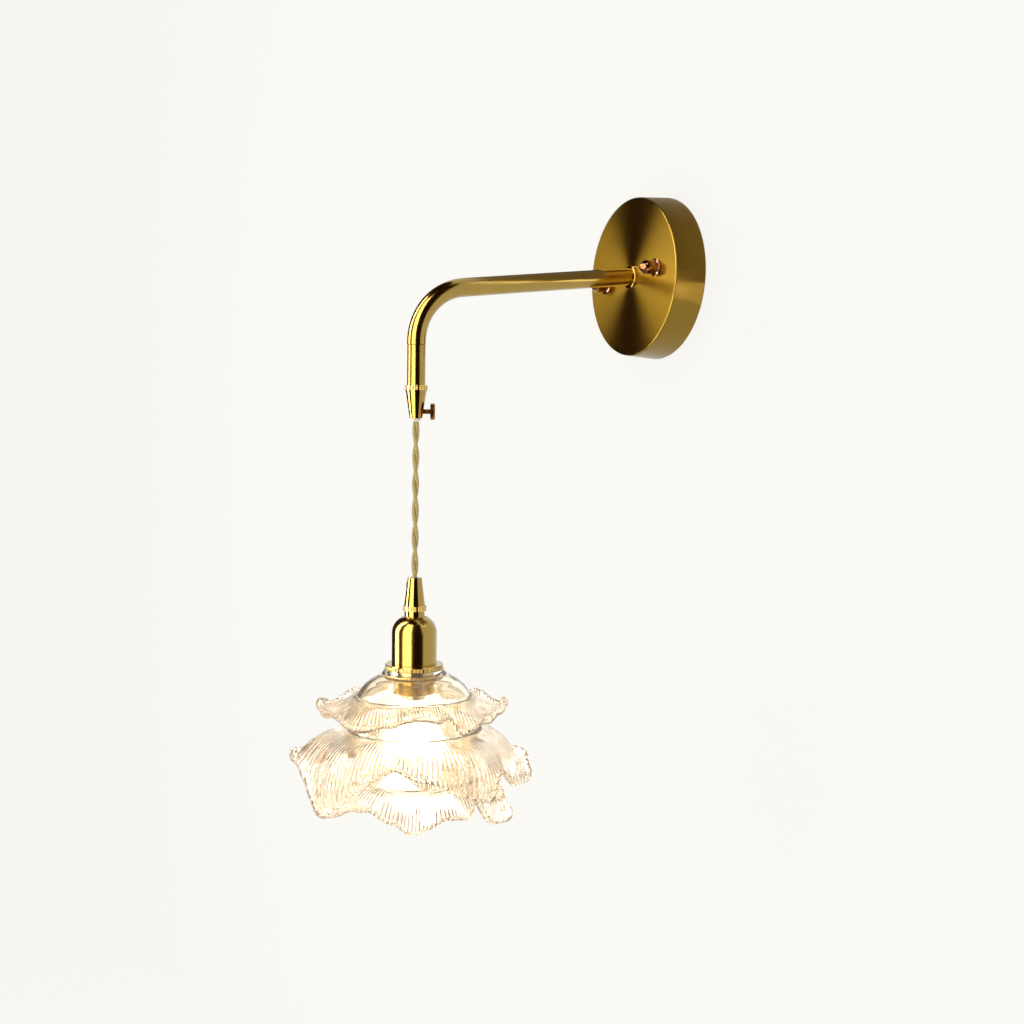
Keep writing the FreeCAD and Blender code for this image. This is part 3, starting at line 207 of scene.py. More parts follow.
brushed, tree, shader, place = start_material(
    "lacquered_brushed_brass", Metallic=1.0, Roughness=0.3, Anisotropic=0.8, Anisotropic_Rotation=0.25,
    Coat_Weight=0.3, Coat_Roughness=0.2)
BRUSH_SPACING = 0.0006
turned_lines(tree, shader, place, (0, 0, 0), (0, 1, 0), spacing=BRUSH_SPACING, depth=0.00001)
patina = add_node(tree, "ShaderNodeTexNoise", {"Vector": place, "Scale": PER_MM / 45, "Detail": 2.0})
colour_by(tree, shader, patina.outputs["Fac"], "#8A6C1E", "#9C7E2A")
tangent = add_node(tree, "ShaderNodeTangent", direction_type="RADIAL", axis="Y")
tree.links.new(tangent.outputs["Tangent"], shader.inputs["Tangent"])
finish_nodes(["canopy_cup"], brushed)

# ---- cap nuts --------------------------------------------------------------------------------
# Two domed nuts of red brass on the bracket's studs, with flats filed all over their heads and
# polished. They are redder than the canopy, and every flat catches something else.
red_brass, tree, shader, place = start_material(
    "faceted_red_brass", Metallic=1.0, Roughness=0.1, Coat_Weight=1.0, Coat_Roughness=0.03)
flats = add_node(tree, "ShaderNodeTexVoronoi", {"Vector": place, "Scale": PER_MM / 2.6})
colour_by(tree, shader, flats.outputs["Distance"], "#74421C", "#A06C34")
bumped(tree, shader, flats.outputs["Distance"], distance=0.0005, strength=1.0)
finish_nodes(["cap_nuts"], red_brass)

# ---- arm -------------------------------------------------------------------------------------
# Drawn brass tube, 13 mm, bent once over a former, polished and lacquered, with a turned collar
# against the canopy. Polishing leaves a faint wave in the reflections.
ARM_REACH = 0.1978
polished, tree, shader, place = start_material(
    "polished_brass", Metallic=1.0, Roughness=0.16, Coat_Weight=1.0, Coat_Roughness=0.05)
wave = add_node(tree, "ShaderNodeTexNoise", {"Vector": place, "Scale": PER_MM / 14, "Detail": 1.0})
colour_by(tree, shader, wave.outputs["Fac"], "#A2822C", "#B2943A")
bumped(tree, shader, wave.outputs["Fac"], distance=0.0002, strength=0.3)
finish_nodes(["arm_tube", "arm_collar", "drop_sleeve"], polished)

# ---- cord grips and thumbscrew ---------------------------------------------------------------
# Turned brass parts about the cord's axis: two tapered grips, a short neck, and the T-headed screw of
# red brass that clamps the cord. All polished, with the lathe's lines just visible.
turned, tree, shader, place = start_material(
    "turned_brass", Metallic=1.0, Roughness=0.12, Coat_Weight=1.0, Coat_Roughness=0.04)
lines = turned_lines(
    tree, shader, place, (0, -ARM_REACH, 0), (0, 0, 1), spacing=0.0008, depth=0.000004)
colour_by(tree, shader, lines, "#A2822C", "#B2943A")
finish_nodes([
    "grip_cone_upper", "grip_cone_lower", "neck_spacer",
    "grub_screw_lower", "socket_nipple", "nipple_nut",
], turned)

screw_brass, tree, shader, place = start_material(
    "turned_red_brass", Metallic=1.0, Roughness=0.16, Coat_Weight=0.5, Coat_Roughness=0.06)
tarnish = add_node(tree, "ShaderNodeTexNoise", {"Vector": place, "Scale": PER_MM / 3, "Detail": 2.0})
colour_by(tree, shader, tarnish.outputs["Fac"], "#8F5A1E", "#B07A2C")
finish_nodes(["thumbscrew"], screw_brass)


# ---- twisted cord ----------------------------------------------------------------------------
# Two insulated conductors, each in a woven sleeve of gold-coloured rayon, twisted together at one
# turn in 37 mm. It hangs straight between the grips and goes on inside the upper one.
CORD_AXIS = (0.0, -ARM_REACH)
STRAND_RAD = 0.00125
TWIST_PITCH = 0.037
TWIST_START = math.radians(200)
STRAND_SIDES, ROWS_PER_POINT = 14, 8


def spline_points(name, depths):
    """Points along the NURBS centreline of a plumb stretch of cord with control points at depths."""
    line = bpy.data.curves.new(name, "CURVE")
    line.dimensions = "3D"
    line.resolution_u = 24
    spline = line.splines.new("NURBS")
    spline.points.add(len(depths) - 1)
    for point, depth in zip(spline.points, depths):
        point.co = (CORD_AXIS[0], CORD_AXIS[1], -depth, 1.0)
    spline.order_u = 3
    spline.use_endpoint_u = True
    holder = bpy.data.objects.new(name, line)
    mesh = bpy.data.meshes.new_from_object(holder)
    points = [vertex.co.copy() for vertex in mesh.vertices]
    bpy.data.meshes.remove(mesh)
    bpy.data.objects.remove(holder)
    bpy.data.curves.remove(line)
    return points


def mesh_piece(name, verts, faces, material, uvs=None, smooth=True):
    """A mesh object at the origin with one material and, if given, a UV for each corner."""
    mesh = bpy.data.meshes.new(name)
    mesh.from_pydata(verts, [], faces)
    mesh.materials.append(material)
    for polygon in mesh.polygons:
        polygon.use_smooth = smooth
    if uvs:
        layer = mesh.uv_layers.new(name="surface")
        for loop, uv in zip(layer.data, (uv for face in uvs for uv in face)):
            loop.uv = uv
    piece = bpy.data.objects.new(name, mesh)
    bpy.context.scene.collection.objects.link(piece)
    return piece


def twisted_pair(name, path, material):
    """Two strands wound round a path, as closed tubes with UVs round the strand and along it."""
    steps = ROWS_PER_POINT * len(path)
    length = (path[-1] - path[0]).length
    verts, faces, uvs = [], [], []
    for strand in (0, 1):
        first = len(verts)
        for row in range(steps + 1):
            spot = path[0].lerp(path[-1], row / steps)
            turn = TWIST_START + math.pi * strand - 2 * math.pi * spot.z / TWIST_PITCH
            out = Vector((math.cos(turn), math.sin(turn), 0))
            side = Vector((-out.y, out.x, 0))
            run = (Vector((0, 0, -1)) + side * (2 * math.pi * STRAND_RAD / TWIST_PITCH)).normalized()
            across_run = run.cross(out)
            for number in range(STRAND_SIDES):
                angle = 2 * math.pi * number / STRAND_SIDES
                verts.append(spot + out * STRAND_RAD + STRAND_RAD * (
                    math.cos(angle) * out + math.sin(angle) * across_run))
        for row in range(steps):
            for number in range(STRAND_SIDES):
                beside = (number + 1) % STRAND_SIDES
                low, high = first + row * STRAND_SIDES, first + (row + 1) * STRAND_SIDES
                faces.append((low + number, high + number, high + beside, low + beside))
                left, after = number / STRAND_SIDES, (number + 1) / STRAND_SIDES
                top, foot = row * length / steps, (row + 1) * length / steps
                uvs.append(((left, top), (left, foot), (after, foot), (after, top)))
        last = first + steps * STRAND_SIDES
        faces.append(tuple(range(first, first + STRAND_SIDES)))
        faces.append(tuple(reversed(range(last, last + STRAND_SIDES))))
        uvs += [[(0.0, 0.0)] * STRAND_SIDES] * 2
    return mesh_piece(name, verts, faces, material, uvs)


def product(tree, first, second):
    """Two values multiplied, as a socket."""
    return add_node(tree, "ShaderNodeMath", {0: first, 1: second}, operation="MULTIPLY").outputs[0]


def sine_of_turns(tree, turns):
    """The sine of a number of full turns, as a socket."""
    angle = product(tree, turns, 2 * math.pi)
    return add_node(tree, "ShaderNodeMath", {0: angle}, operation="SINE").outputs[0]


rayon, tree, shader, place = start_material("woven_rayon", Roughness=0.5)
shader.inputs["Sheen Weight"].default_value = 0.35
shader.inputs["Sheen Roughness"].default_value = 0.3
surface = add_node(tree, "ShaderNodeUVMap", uv_map="surface")
split = add_node(tree, "ShaderNodeSeparateXYZ", {"Vector": surface.outputs["UV"]})
YARNS_ROUND = 6.0
YARN_REPEAT = 0.0018
weave = []
for hand in (-1, 1):
    wrap = product(tree, split.outputs["X"], hand * YARNS_ROUND)
    climb = product(tree, split.outputs["Y"], 1 / YARN_REPEAT)
    phase = add_node(tree, "ShaderNodeMath", {0: wrap, 1: climb})
    weave.append(sine_of_turns(tree, phase.outputs[0]))
yarn_relief_and_shade = stretched(tree, product(tree, *weave), -1.0, 1.0)
# The weave's colour follows its relief, dark in the grooves and pale on the crests: painted shade and
# highlight over the yarn's own gold.
colour_by(tree, shader, yarn_relief_and_shade, "#75601F", "#E6D594")
bumped(tree, shader, yarn_relief_and_shade, distance=0.0003, strength=0.8)

# Depths of the cord's start inside the grip, of the grip's mouth and of the lower grip's inside.
FEED_START, MOUTH_DEPTH, DROP_END = 0.0574, 0.1098, 0.2178
hanging_path = spline_points("hanging_line", (MOUTH_DEPTH, 0.137, 0.164, 0.191, DROP_END))
hanging_cord = twisted_pair("hanging_cord", hanging_path, rayon)
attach(hanging_cord, "pendant")
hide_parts("cord_bend", "cord_drop")
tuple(hanging_path[0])

feed_path = spline_points("feed_line", (FEED_START, 0.075, 0.092, MOUTH_DEPTH))
feed_cord = twisted_pair("feed_cord", feed_path, rayon)
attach(feed_cord, "cord_feed")
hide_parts("cord_feed")
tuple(feed_path[0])
finish_nodes(["arm_flex", "holder_cores"], rayon)

# ---- lampholder cap and barrel ---------------------------------------------------------------
# Spun brass cap and barrel, brushed round on the lathe about the cord's axis and lacquered, with two
# small screws of blackened steel in the cap's side. Each light shows as an upright stripe.
cap_brass, tree, shader, place = start_material(
    "brushed_cap_brass", Metallic=1.0, Roughness=0.18, Coat_Weight=0.8, Coat_Roughness=0.08)
lines = turned_lines(
    tree, shader, place, (0, -ARM_REACH, 0), (0, 0, 1), spacing=BRUSH_SPACING, depth=0.000006)
colour_by(tree, shader, lines, "#A68836", "#B89A44")
finish_nodes(["socket_cap", "socket_barrel"], cap_brass)

blackened, tree, shader, place = start_material("blackened_steel", Metallic=1.0, Roughness=0.4)
oil = add_node(tree, "ShaderNodeTexNoise", {"Vector": place, "Scale": PER_MM / 2})
colour_by(tree, shader, oil.outputs["Fac"], "#241A10", "#3E3020")
finish_nodes(["cap_screws"], blackened)

# ---- knurled rings ---------------------------------------------------------------------------
# Four turned rings with upright ridges pressed round them for the fingers: one under the sleeve, one
# on the lower grip and the two that clamp the shade. Paler brass than the rest, and polished.
MM = 0.001
RIDGE_SIDES, RING_STEPS = 6, 112


def knurl_nodes():
    """Geometry Nodes that set upright ridges round a turned ring; their sizes and count are inputs."""
    group = bpy.data.node_groups.new("knurled_ring", "GeometryNodeTree")
    group.interface.new_socket("Ring", in_out="INPUT", socket_type="NodeSocketGeometry")
    for name, kind in (
        ("Circle Radius", "Float"), ("Ridge Radius", "Float"), ("Ridge Height", "Float"),
        ("Ridges", "Int"), ("Middle", "Vector"), ("Finish", "Material"),
    ):
        group.interface.new_socket(name, in_out="INPUT", socket_type="NodeSocket" + kind)
    group.interface.new_socket("Ring", in_out="OUTPUT", socket_type="NodeSocketGeometry")
    given = add_node(group, "NodeGroupInput").outputs
    circle = add_node(group, "GeometryNodeMeshCircle", {
        "Vertices": given["Ridges"], "Radius": given["Circle Radius"]})
    ridge = add_node(group, "GeometryNodeMeshCylinder", {
        "Vertices": RIDGE_SIDES, "Radius": given["Ridge Radius"], "Depth": given["Ridge Height"]})
    ridges = add_node(group, "GeometryNodeInstanceOnPoints", {
        "Points": circle.outputs["Mesh"], "Instance": ridge.outputs["Mesh"]})
    placed = add_node(group, "GeometryNodeTransform", {
        "Geometry": ridges.outputs["Instances"], "Translation": given["Middle"]})
    joined = add_node(group, "GeometryNodeJoinGeometry", {"Geometry": given["Ring"]})
    group.links.new(placed.outputs["Geometry"], joined.inputs["Geometry"])
    real = add_node(group, "GeometryNodeRealizeInstances", {"Geometry": joined.outputs["Geometry"]})
    finished = add_node(group, "GeometryNodeSetMaterial", {
        "Geometry": real.outputs["Geometry"], "Material": given["Finish"]})
    add_node(group, "NodeGroupOutput", {"Ring": finished.outputs["Geometry"]})
    return group


def turned_mesh(outline, count):
    """Vertices and outward faces of a closed outline of (radius, depth) in mm, turned about the cord."""
    verts = []
    for number in range(count):
        angle = 2 * math.pi * number / count
        for radius, depth in outline:
            across, out = radius * math.cos(angle), radius * math.sin(angle)
            verts.append(Vector((across * MM, out * MM - ARM_REACH, -depth * MM)))
    ring = len(outline)
    faces = []
    for number in range(count):
        this, beside = number * ring, (number + 1) % count * ring
        for step in range(ring):
            after = (step + 1) % ring
            faces.append((this + step, this + after, beside + after, beside + step))
    return verts, faces


knurled, tree, shader, place = start_material(
    "knurled_brass", Metallic=1.0, Roughness=0.14, Coat_Weight=0.6, Coat_Roughness=0.05)
wear = add_node(tree, "ShaderNodeTexNoise", {"Vector": place, "Scale": PER_MM / 5})
colour_by(tree, shader, wear.outputs["Fac"], "#BC9E50", "#D6BC7C")

knurl = knurl_nodes()
GRIP_BORE, SHADE_BORE = 5.0, 14.8
RIDGE_SUNK, RIDGE_SHORT = 0.9, 0.4
LIP_RAD, LIP_CHAMFER, LIP_CORNER = 20.3, 0.3, 0.4
# name, body, bore, ridged part's radius, top, foot, ridges, ridge radius, and the smooth lip above it
for name, body, bore, rad, top, foot, count, ridge_rad, lip in (
    ("sleeve_ring", "wall_arm", GRIP_BORE, 7.85, 84.5, 88.1, 18, 0.75, 0.0),
    ("lower_ring", "pendant", GRIP_BORE, 8.15, 237.4, 241.2, 18, 0.75, 0.0),
    ("shade_ring_upper", "pendant", SHADE_BORE, 20.1, 278.3, 281.6, 48, 0.95, 0.8),
    ("shade_ring_lower", "pendant", SHADE_BORE, 20.3, 285.2, 289.6, 48, 0.95, 0.0),
):
    core = rad - ridge_rad * RIDGE_SUNK
    lip_foot = top + lip
    lip_edge = [
        (LIP_RAD - LIP_CHAMFER, top), (LIP_RAD, top + LIP_CORNER),
        (LIP_RAD, lip_foot - LIP_CORNER), (LIP_RAD - LIP_CHAMFER, lip_foot),
    ] if lip else []
    outline = [(bore, top)] + lip_edge + [(core, lip_foot), (core, foot), (bore, foot)]
    verts, faces = turned_mesh(outline, RING_STEPS)
    ring = mesh_piece("knurled_" + name, verts, faces, knurled, smooth=False)
    modifier = ring.modifiers.new("knurl", "NODES")
    modifier.node_group = knurl
    given = {
        "Circle Radius": (rad - ridge_rad) * MM, "Ridge Radius": ridge_rad * MM,
        "Ridge Height": (foot - lip_foot - RIDGE_SHORT) * MM, "Ridges": count,
        "Middle": (0.0, -ARM_REACH, -(foot + lip_foot) / 2 * MM), "Finish": knurled,
    }
    for socket in knurl.interface.items_tree:
        if socket.in_out == "INPUT" and socket.name in given:
            modifier[socket.identifier] = given[socket.name]
    depsgraph = bpy.context.evaluated_depsgraph_get()
    ridged = bpy.data.meshes.new_from_object(ring.evaluated_get(depsgraph))
    ring.modifiers.remove(modifier)
    ring.data = ridged
    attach(ring, body)
    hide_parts(name)

# ---- lampholder inside -----------------------------------------------------------------------
# Glazed porcelain body with a threaded shell, spring contact and screw terminals of nickel-plated
# brass. The bulb's own cap and contact are plated the same way.
porcelain, tree, shader, place = start_material("glazed_porcelain", Roughness=0.18)
glaze = add_node(tree, "ShaderNodeTexNoise", {"Vector": place, "Scale": PER_MM / 8})
colour_by(tree, shader, glaze.outputs["Fac"], "#E4DFD2", "#F2EEE4")
finish_nodes(["holder_body"], porcelain)
nickel, tree, shader, place = start_material("nickel_plated_brass", Metallic=1.0, Roughness=0.25)
haze = add_node(tree, "ShaderNodeTexNoise", {"Vector": place, "Scale": PER_MM / 4})
colour_by(tree, shader, haze.outputs["Fac"], "#B5AC98", "#CFC8B8")
finish_nodes([
    "screw_shell", "centre_contact", "holder_terminals", "bulb_screw_cap", "bulb_contact",
], nickel)

# ---- bulb ------------------------------------------------------------------------------------
# Round opal lamp, lit: the milky glass scatters the light of what is inside it, so the whole globe
# glows an even warm white.
opal, tree, shader, place = start_material("lit_opal_glass", Roughness=0.25)
milk = add_node(tree, "ShaderNodeTexNoise", {"Vector": place, "Scale": PER_MM / 20})
colour_by(tree, shader, milk.outputs["Fac"], "#FFF4E2", "#FFFAF0")
shader.inputs["Emission Color"].default_value = linear("#FFE6CA")
BULB_GLOW = 5.0
shader.inputs["Emission Strength"].default_value = BULB_GLOW
finish_nodes(["bulb_globe"], opal)

# ---- glass flower ----------------------------------------------------------------------------
# Clear soda-lime glass, cast and worked hot: a smooth bell with three tiers of petals fused to it.
# Each petal is ribbed from root to rim by its mould, and its rim is rolled up and crimped by hand.
FRONT_HEADING = -22.0
# For each tier, where it leaves the bell and points round its rim: heading, radius, depth, and how far
# the petal bows upwards, as a share of its length.
TIERS = {
    "upper": {
        "root": (39.0, 301.0),
        "rims": [
            (-92, 66.0, 307.0, -0.04), (-78, 63.0, 311.0, -0.05), (-64, 58.5, 310.0, -0.02),
            (-42, 62.5, 313.5, 0.0), (-22, 58.5, 310.0, 0.05), (-4, 57.0, 306.0, 0.1),
            (10, 57.0, 305.5, 0.1), (17, 57.0, 307.5, 0.06), (24, 55.5, 304.5, 0.0),
            (32, 56.5, 315.0, 0.0), (42, 58.0, 314.5, 0.0), (56, 59.0, 312.5, -0.05),
            (72, 61.5, 310.5, -0.08), (88, 65.5, 307.0, -0.1), (104, 61.0, 311.0, -0.05),
            (122, 57.0, 306.0, 0.0), (140, 64.0, 311.0, 0.0), (160, 60.0, 313.0, 0.0),
            (178, 56.0, 305.0, 0.05), (198, 63.0, 312.0, 0.0), (216, 62.0, 309.0, 0.0),
            (236, 56.0, 306.0, 0.0), (252, 60.5, 311.0, -0.02),
        ],
    },
    "middle": {
        "root": (44.6, 324.0),
        "rims": [
            (-92, 85.0, 342.5, 0.12), (-79, 79.0, 348.0, 0.16), (-66, 77.0, 359.0, 0.2),
            (-52, 78.0, 368.5, 0.22), (-42, 76.5, 361.0, 0.22), (-33, 75.0, 351.0, 0.2),
            (-22, 72.5, 341.5, 0.16), (-9, 70.0, 335.0, 0.1), (0, 70.0, 340.5, 0.16),
            (9, 69.0, 342.5, 0.2), (20, 67.0, 350.0, 0.22), (33, 69.5, 356.0, 0.22),
            (47, 72.5, 357.0, 0.2), (58, 69.0, 346.0, 0.12), (68, 71.5, 354.5, 0.1),
            (80, 77.5, 358.5, 0.09), (92, 81.5, 354.5, 0.09), (106, 75.0, 344.0, 0.12),
            (122, 78.0, 360.0, 0.18), (140, 80.0, 366.0, 0.2), (156, 72.0, 344.0, 0.14),
            (176, 78.0, 362.0, 0.2), (194, 77.0, 366.0, 0.2), (208, 70.0, 342.0, 0.12),
            (226, 78.0, 360.0, 0.18), (242, 79.0, 362.0, 0.2), (255, 75.0, 346.0, 0.12),
        ],
    },
    "lower": {
        "root": (42.4, 357.5),
        "rims": [
            (-92, 62.0, 371.0, 0.1), (-80, 66.5, 376.5, 0.1), (-70, 66.0, 378.5, 0.1),
            (-61, 64.0, 375.5, 0.1), (-48, 63.5, 369.5, 0.1), (-34, 62.0, 365.0, 0.1),
            (-22, 59.5, 369.5, 0.1), (-12, 57.0, 376.5, 0.12), (0, 56.0, 381.0, 0.12),
            (11, 58.5, 376.0, 0.12), (22, 61.5, 371.0, 0.1), (32, 61.0, 372.0, 0.1),
            (41, 60.0, 369.0, 0.1), (50, 56.0, 366.0, 0.1), (60, 58.0, 380.0, 0.14),
            (69, 62.5, 385.5, 0.14), (79, 67.5, 380.5, 0.14), (89, 61.0, 369.0, 0.1),
            (104, 64.0, 378.0, 0.12), (120, 65.0, 384.0, 0.14), (136, 57.0, 368.0, 0.1),
            (156, 62.0, 382.0, 0.12), (174, 60.0, 384.0, 0.12), (190, 56.0, 368.0, 0.1),
            (208, 63.0, 380.0, 0.12), (226, 63.0, 383.0, 0.12), (244, 57.0, 368.0, 0.1),
        ],
    },
}
BELL = [
    (21.2, 283.0), (23.4, 285.6), (27.5, 288.2), (31.5, 290.6), (37.0, 295.8), (42.5, 306.0),
    (46.0, 325.0), (45.5, 345.0), (43.5, 362.0),
]
BELL_THICK = 3.2
# A hair's gap keeps the neck plate clear of the rings that clamp it.
NECK_TOP, NECK_FOOT = 281.65, 285.15
NECK_BORE, NECK_EDGE, NECK_INSIDE = 15.2, 20.7, 20.6
INSIDE_DROP = 0.4
BELL_SHARP = math.radians(35)
RIBS = 132
HEADINGS, BELL_STEPS = 720, 160
BLADE_STEPS, ROLL_STEPS = 14, 8
# The rolled rim: its least radius, its growth with the petal's reach, its set-back and its turn.
LEAST_CURL, CURL_GROWTH, CURL_BACK, CURL_TURN = 1.5, 0.09, 0.95, math.radians(165)
# Sizes of the rim's ruffles and crimps and of the ribs' swirl, how many degrees apart they lie, the
# noise rows they are read from, and where the crimps begin.
RUFFLE, CRIMP, SWIRL = 3.2, 0.9, 7.0
RUFFLE_SPREAD, CRIMP_SPREAD, SWIRL_SPREAD = 8, 25, 50
CRIMP_ROW, SWIRL_ROW = 9.5, 3.5
MEAN_CRIMP, CRIMP_FROM = 0.6, 0.5
# Half the petal's thickness at its root and what it loses to the rim, and how full its tip is.
ROOT_HALF, HALF_LOSS, TIP_FULL = 1.45, 0.45, 0.8
EASE = 0.002


def spline_rows(spots, rows, count):
    """Closed cubic spline through rows of numbers at heading spots, as count rows at even headings."""
    gaps = numpy.diff(numpy.append(spots, spots[0] + 360))
    size = len(spots)
    matrix = numpy.zeros((size, size))
    slopes = (numpy.roll(rows, -1, axis=0) - rows) / gaps[:, None]
    for here in range(size):
        matrix[here, here - 1] += gaps[here - 1] / 6
        matrix[here, here] += (gaps[here - 1] + gaps[here]) / 3
        matrix[here, (here + 1) % size] += gaps[here] / 6
    bends = numpy.linalg.solve(matrix, slopes - numpy.roll(slopes, 1, axis=0))
    even = spots[0] + 360 * numpy.arange(count) / count
    start = numpy.searchsorted(spots, even, side="right") - 1
    end = (start + 1) % size
    gap = gaps[start][:, None]
    ahead = (even - spots[start])[:, None]
    left = gap - ahead
    return even, (
        (bends[start] * left ** 3 + bends[end] * ahead ** 3) / (6 * gap)
        + (rows[start] / gap - bends[start] * gap / 6) * left
        + (rows[end] / gap - bends[end] * gap / 6) * ahead
    )


def smooth_line(points):
    """An open line of (radius, depth) through points, rounded by three steps between each pair."""
    line = []
    for number, (start, end) in enumerate(zip(points, points[1:])):
        before, after = points[max(number - 1, 0)], points[min(number + 2, len(points) - 1)]
        for share in (0.0, 1 / 3, 2 / 3):
            line.append(tuple(
                start[i] + (end[i] - start[i]) * share + share * (1 - share) * (
                    (1 - share) * ((end[i] - before[i]) / 2 - end[i] + start[i])
                    - share * ((after[i] - start[i]) / 2 - end[i] + start[i]))
                for i in (0, 1)))
    return line + [points[-1]]


def petal_cut(root, rim, curl):
    """Middle line of one radial cut, root to rolled rim: rows of radius, depth and the upward normal."""
    radius, depth, bow = rim[1:]
    root, rim = Vector(root), Vector((radius, depth))
    chord = rim - root
    along_chord = chord.normalized()
    end = rim - curl * (CURL_BACK * along_chord + Vector((along_chord.y, -along_chord.x)))
    chord = end - root
    arch = root + chord / 2 + 2 * bow * Vector((chord.y, -chord.x))
    cuts = []
    for step in range(BLADE_STEPS + 1):
        along = step / BLADE_STEPS
        rest = 1 - along
        slope = (rest * (arch - root) + along * (end - arch)).normalized()
        spot = rest * rest * root + 2 * rest * along * arch + along * along * end
        cuts.append((spot.x, spot.y, slope.y, -slope.x))
    lift = Vector((slope.y, -slope.x))
    middle = spot + curl * lift
    for step in range(1, ROLL_STEPS + 1):
        turn = CURL_TURN * step / ROLL_STEPS
        facing = math.cos(turn) * lift - math.sin(turn) * slope
        rolled = middle - curl * facing
        cuts.append((rolled.x, rolled.y, facing.x, facing.y))
    return cuts


def eased_in(spot):
    """A point moved, if need be, to stay inside the CAD model's box without a flat cut."""
    for axis in range(3):
        for side, limit in ((-1, -cad_box[0][axis]), (1, cad_box[1][axis])):
            over = side * spot[axis] - (limit - EASE)
            if over > 0:
                spot[axis] = side * (limit - EASE * math.exp(-over / EASE))
    return spot


def petal_tier(name, tier, seed):
    """One tier as a closed skirt: its cuts joined by splines, ruffled, crimped and given thickness."""
    rims = tier["rims"]
    least = min(rim[1] for rim in rims)
    cuts = [petal_cut(tier["root"], rim, LEAST_CURL + CURL_GROWTH * (rim[1] - least)) for rim in rims]
    spots = numpy.array([float(rim[0]) for rim in rims])
    headings, rows = spline_rows(spots, numpy.array(cuts).reshape(len(rims), -1), HEADINGS)
    steps = BLADE_STEPS + ROLL_STEPS
    verts, faces, uvs, swirls = [], [], [], []
    for heading, row in zip(headings, rows):
        angle = math.radians(FRONT_HEADING + heading)
        swirls.append(SWIRL * noise.noise((heading / SWIRL_SPREAD, seed, SWIRL_ROW)))
        crimping = CRIMP * (MEAN_CRIMP + noise.noise((heading / CRIMP_SPREAD, seed, CRIMP_ROW)))
        upper, lower = [], []
        for step, (radius, depth, out, rise) in enumerate(row.reshape(-1, 4)):
            share = step / steps
            ruffle = share ** 2 * RUFFLE * noise.noise((heading / RUFFLE_SPREAD, seed, share))
            rib = math.sin(math.radians(RIBS * heading) + 2 * math.pi * swirls[-1] * share)
            crimp = crimping * rib * max(0.0, share - CRIMP_FROM)
            half = ROOT_HALF - HALF_LOSS * share + crimp
            for side, line in ((half + ruffle, upper), (ruffle - half, lower)):
                reach = radius + out * side
                line.append(Vector((
                    reach * math.cos(angle) * MM, reach * math.sin(angle) * MM - ARM_REACH,
                    -(depth + rise * side) * MM)))
        onward = (upper[-1] - upper[-2]).normalized()
        tip = (upper[-1] + lower[-1]) / 2 + onward * half * TIP_FULL * MM
        verts += [eased_in(spot) for spot in upper + [tip] + lower[::-1]]
    down = [step / steps for step in range(steps + 1)]
    down = down + [1.0] + down[::-1]
    ring = len(down)
    for number in range(HEADINGS):
        beside = (number + 1) % HEADINGS
        left, right = number * 360 / HEADINGS, (number + 1) * 360 / HEADINGS
        for step in range(ring):
            after = (step + 1) % ring
            this, next_one = number * ring, beside * ring
            faces.append((this + step, this + after, next_one + after, next_one + step))
            uvs.append([
                (RIBS * (turn / 360) + swirl * down[row], down[row])
                for turn, swirl, row in (
                    (left, swirls[number], step), (left, swirls[number], after),
                    (right, swirls[beside], after), (right, swirls[beside], step))
            ])
    return mesh_piece(name, verts, faces, glass, uvs)


glass, tree, shader, place = start_material("cast_soda_lime_glass", IOR=1.45, Transmission_Weight=0.95)
surface = add_node(tree, "ShaderNodeUVMap", uv_map="surface")
split = add_node(tree, "ShaderNodeSeparateXYZ", {"Vector": surface.outputs["UV"]})
worked = stretched(tree, split.outputs["Y"], 0.05, 0.35)
# The glass is tinted warmer on the petals than on the bell: painted warm light from the bulb, over the
# glass's own pale tint.
colour_by(tree, shader, worked, "#F5EFE2", "#FDF0E0")
patches = add_node(tree, "ShaderNodeTexNoise", {
    "Vector": place, "Scale": PER_MM / 16, "Detail": 1.0}).outputs["Fac"]
pressed = product(tree, worked, stretched(tree, patches, 0.35, 0.6))
ribs = product(tree, sine_of_turns(tree, split.outputs["X"]), pressed)
chill = add_node(tree, "ShaderNodeTexNoise", {"Vector": place, "Scale": PER_MM / 6, "Detail": 2.0})
chilled = product(tree, chill.outputs["Fac"], worked)
height = add_node(tree, "ShaderNodeMath", {0: ribs, 1: chilled})
bumped(tree, shader, height.outputs[0], distance=0.0005, strength=1.0)
hazed = product(tree, stretched(tree, patches, 0.45, 0.7, 0.0, 0.12), worked)
tree.links.new(hazed, shader.inputs["Roughness"])
# Painted glow: the petals give off a faint warm light of their own, strongest where the ribs are
# pressed, in place of the bulb's light that the glass scatters.
painted_bulb_glow = product(tree, stretched(tree, pressed, 0.0, 1.0, 0.015, 0.06), worked)
tree.links.new(painted_bulb_glow, shader.inputs["Emission Strength"])
shader.inputs["Emission Color"].default_value = linear("#FFE0B4")
rays = add_node(tree, "ShaderNodeLightPath")
open_to_lamps = add_node(tree, "ShaderNodeBsdfTransparent")
passing = add_node(tree, "ShaderNodeMixShader", {
    0: rays.outputs["Is Shadow Ray"], 1: shader.outputs["BSDF"], 2: open_to_lamps.outputs["BSDF"],
})
tree.links.new(passing.outputs["Shader"], tree.nodes["Material Output"].inputs["Surface"])

